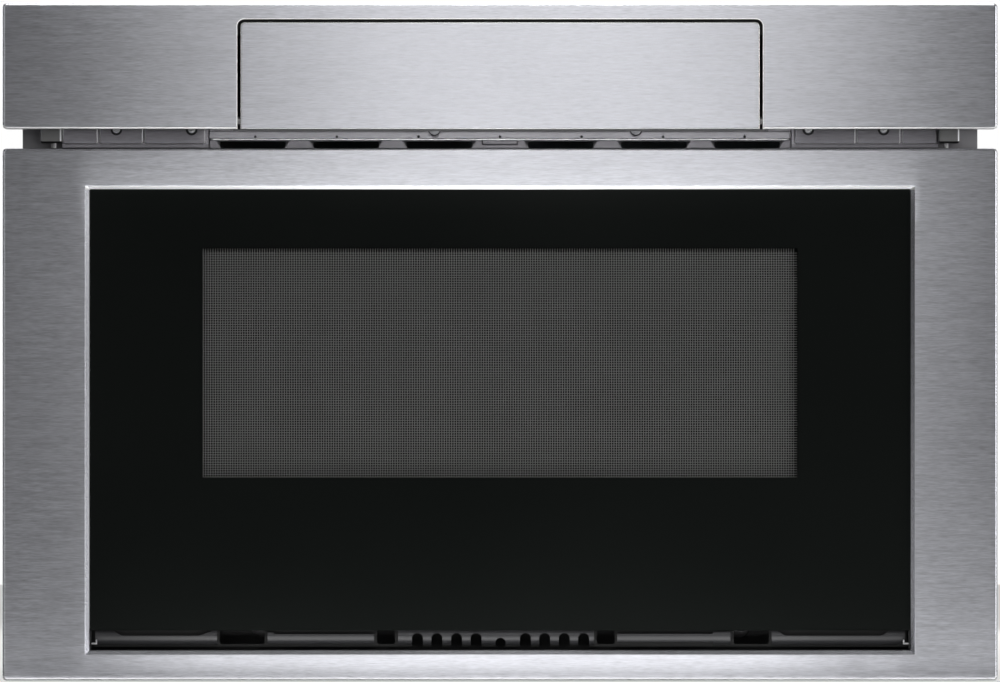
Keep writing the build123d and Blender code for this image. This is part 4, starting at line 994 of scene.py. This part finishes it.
clear_selection()
bpy.ops.mesh.primitive_plane_add(size=1, location=(0, 0, 0))
floor = bpy.context.object
floor.name = "studio_floor"
floor.scale = (FLOOR_SIZE, FLOOR_SIZE, 1)
bpy.ops.object.transform_apply(location=True, rotation=True, scale=True)
pale = Finish("studio_paper")
paper = pale.noise(3.0)
pale.set(Base_Color=pale.shade(paper, (0.80, 0.80, 0.80), (0.84, 0.84, 0.84)), Roughness=0.9)
own_light = pale.node("Emission", None, {"Color": (1, 1, 1, 1), "Strength": PAPER_GLOW})
seen = pale.node("LightPath")["Is Camera Ray"] * PAPER_SHARE
paper_mix = pale.node("MixShader", None, {0: seen, 2: own_light})
pale.tree.links.new(pale.shader.outputs[0], paper_mix.plug.node.inputs[1])
pale.tree.links.new(paper_mix.plug, pale.tree.nodes["Material Output"].inputs["Surface"])
floor.data.materials.append(pale.material)
print("floor", floor.dimensions[:2], "m")

# %% [markdown]
# The sky shows white to the camera and is nearly dark as a light, so that the folds of the steel stay
# crisp. The Light Path node tells the two apart again.

# %% Sky
world = bpy.data.worlds.new("studio")
bpy.context.scene.world = world
world.use_nodes = True
sky = world.node_tree
dim_sky = sky.nodes["Background"]
dim_sky.inputs["Color"].default_value = (0.94, 0.97, 1.0, 1)
dim_sky.inputs["Strength"].default_value = 0.02
white_sky = sky.nodes.new("ShaderNodeBackground")
white_sky.inputs["Color"].default_value = (1, 1, 1, 1)
white_sky.inputs["Strength"].default_value = 1.0
chooser = sky.nodes.new("ShaderNodeMixShader")
rays = sky.nodes.new("ShaderNodeLightPath")
sky.links.new(rays.outputs["Is Camera Ray"], chooser.inputs[0])
sky.links.new(dim_sky.outputs[0], chooser.inputs[1])
sky.links.new(white_sky.outputs[0], chooser.inputs[2])
sky.links.new(chooser.outputs[0], sky.nodes["World Output"].inputs["Surface"])
print("sky of", len(sky.nodes), "nodes")

# %% [markdown]
# A photographer lights polished steel with large soft panels and lets it mirror them. Every lamp here is
# such a panel, hidden from the camera. A low panel that faces the object would draw a white patch on the
# floor behind it, so light linking leaves the floor out of what some of them light.

# %% Light tools
floor_only = bpy.data.collections.new("floor_only")
floor_only.objects.link(floor)
floor_only.collection_objects[0].light_linking.link_state = "EXCLUDE"


def light(name, place, target, size, power, spread=math.pi):
    """A panel of light that looks at its target."""
    lamp = bpy.data.lights.new(name, "AREA")
    lamp.shape, lamp.size, lamp.size_y = "RECTANGLE", *size
    lamp.energy, lamp.spread = power, spread
    stand = bpy.data.objects.new(name, lamp)
    stand.location = place
    stand.rotation_euler = (Vector(target) - Vector(place)).to_track_quat("-Z", "Y").to_euler()
    stand.visible_camera = False
    bpy.context.collection.objects.link(stand)
    return stand


def floor_strip(name, x, y, z, size, power):
    """A strip close to the floor that shines straight up."""
    return light(name, (x, y, z), (x, y, 1.0), size, power)


def off_floor(stand):
    """Keep a panel's light off the floor."""
    stand.light_linking.receiver_collection = floor_only
    return stand


print("light tools ready")

# %% [markdown]
# Four soft boxes behind the front light the case: one above it, one on each side and one at the back.
# The front stands with its back to them, so they don't touch the steel that the photograph shows. Before
# the front, a tall band high up makes the bright upright middle of the fascia and the drawer, and a low
# one looks into the gap.

# %% Soft boxes and bands
light("case_box", (0, 0.9, 2.0), (0, 0.3, 0.2), (2.2, 1.6), 19)
light("left_box", (-2.0, 1.1, 0.7), (-0.2, 0.0, 0.2), (1.0, 1.0), 8)
light("right_box", (2.0, 1.1, 0.7), (0.2, 0.0, 0.2), (1.0, 1.0), 5)
light("back_box", (0.3, 2.4, 0.9), (0.0, 0.3, 0.2), (1.4, 1.0), 16)
light("band", (0.02, -1.6, 0.95), (0.02, -0.3, 0.2), (0.5, 0.8), 3.0)
light("gap_band", (0.04, -1.6, 0.42), (0.04, -0.3, 0.33), (0.3, 0.18), 0.7)
print(len(bpy.data.lights), "panels round the object")

# %% [markdown]
# The lower steel takes its light from strips that lie on the floor and shine up. The photograph's bottom
# rail is brightest in the middle and fades to both sides. One strip can't fade, so a wide one has narrow
# steps at its ends, each weaker than the last. The steps lie side by side, because a strip hides what lies
# under it.

# %% Strips on the floor
STRIP_Y, STRIP_DEPTH, STRIP_Z = -0.34, 0.06, 0.003
STEP_MIDDLE, STEP_Z = -0.005, 0.0032
STRIP_STEPS = (  # distance from the middle, width, strength by area
    (0.0, 0.36, 7.0),
    (0.18875, 0.0175, 5.6),
    (0.20625, 0.0175, 4.2),
    (0.22375, 0.0175, 2.8),
    (0.24125, 0.0175, 1.4),
)

floor_strip("near_strip", 0.0, STRIP_Y, STRIP_Z, (0.7, STRIP_DEPTH), 0.093)
for offset, width, strength in STRIP_STEPS:
    for side in (SIDES if offset else (1,)):
        floor_strip("near_middle", STEP_MIDDLE + side * offset, STRIP_Y, STEP_Z, (width, STRIP_DEPTH),
                    strength * width * STRIP_DEPTH)
floor_strip("near_right", 0.27, -0.36, STRIP_Z, (0.09, 0.1), 0.014)
floor_strip("front_strip", 0.0, -0.60, STRIP_Z, (0.9, 0.16), 0.12)
print("strips at", len(STRIP_STEPS), "levels before the bottom rail")

# %% [markdown]
# Four thin lines of light draw single edges: the drawer's foot, the lip over the glass, the fascia's foot
# and the louver in the gap. The last three have a narrow spread, which keeps them off their neighbours.
# One panel overhead and one over the open drawer light what looks up, and cards on the left and the right
# brighten the steel that faces them.

# %% Lines and cards
light("foot_line", (0.0, -0.2990, 0.0003), (0.0, -0.2985, 1.0), (0.606, 0.003), 0.014)
light("lip_strip", (0.0, -0.309, 0.255), (0.0, -0.2955, 0.3005), (0.51, 0.006), 0.0045, spread=0.35)
light("fold_strip", (0.0, -0.3005, 0.3215), (0.0, -0.2966, 0.3365), (0.606, 0.002), 0.0005, spread=0.5)
light("gap_strip", (0.0, -0.2905, 0.3338), (0.0, -0.2725, 0.3300), (0.36, 0.002), 0.002, spread=1.2)
light("overhead", (0.0, -0.45, 1.8), (0.0, -0.3, 0.0), (1.0, 0.4), 0.7)
off_floor(light("drawer_light", (0.0, -0.10, 1.8), (0.0, -0.47, 0.1), (0.7, 0.34), 3.0, spread=1.3))
off_floor(light("right_card", (1.3, -0.75, 0.45), (0.25, -0.3, 0.2), (1.5, 0.9), 4.0))
off_floor(light("far_card", (1.6, -1.2, 0.45), (0.25, -0.3, 0.2), (1.2, 0.9), 10.0))
off_floor(light("left_card", (-1.3, -1.7, 0.8), (-0.1, -0.3, 0.2), (1.2, 1.2), 5.0))
print(len(bpy.data.lights), "lights in all")
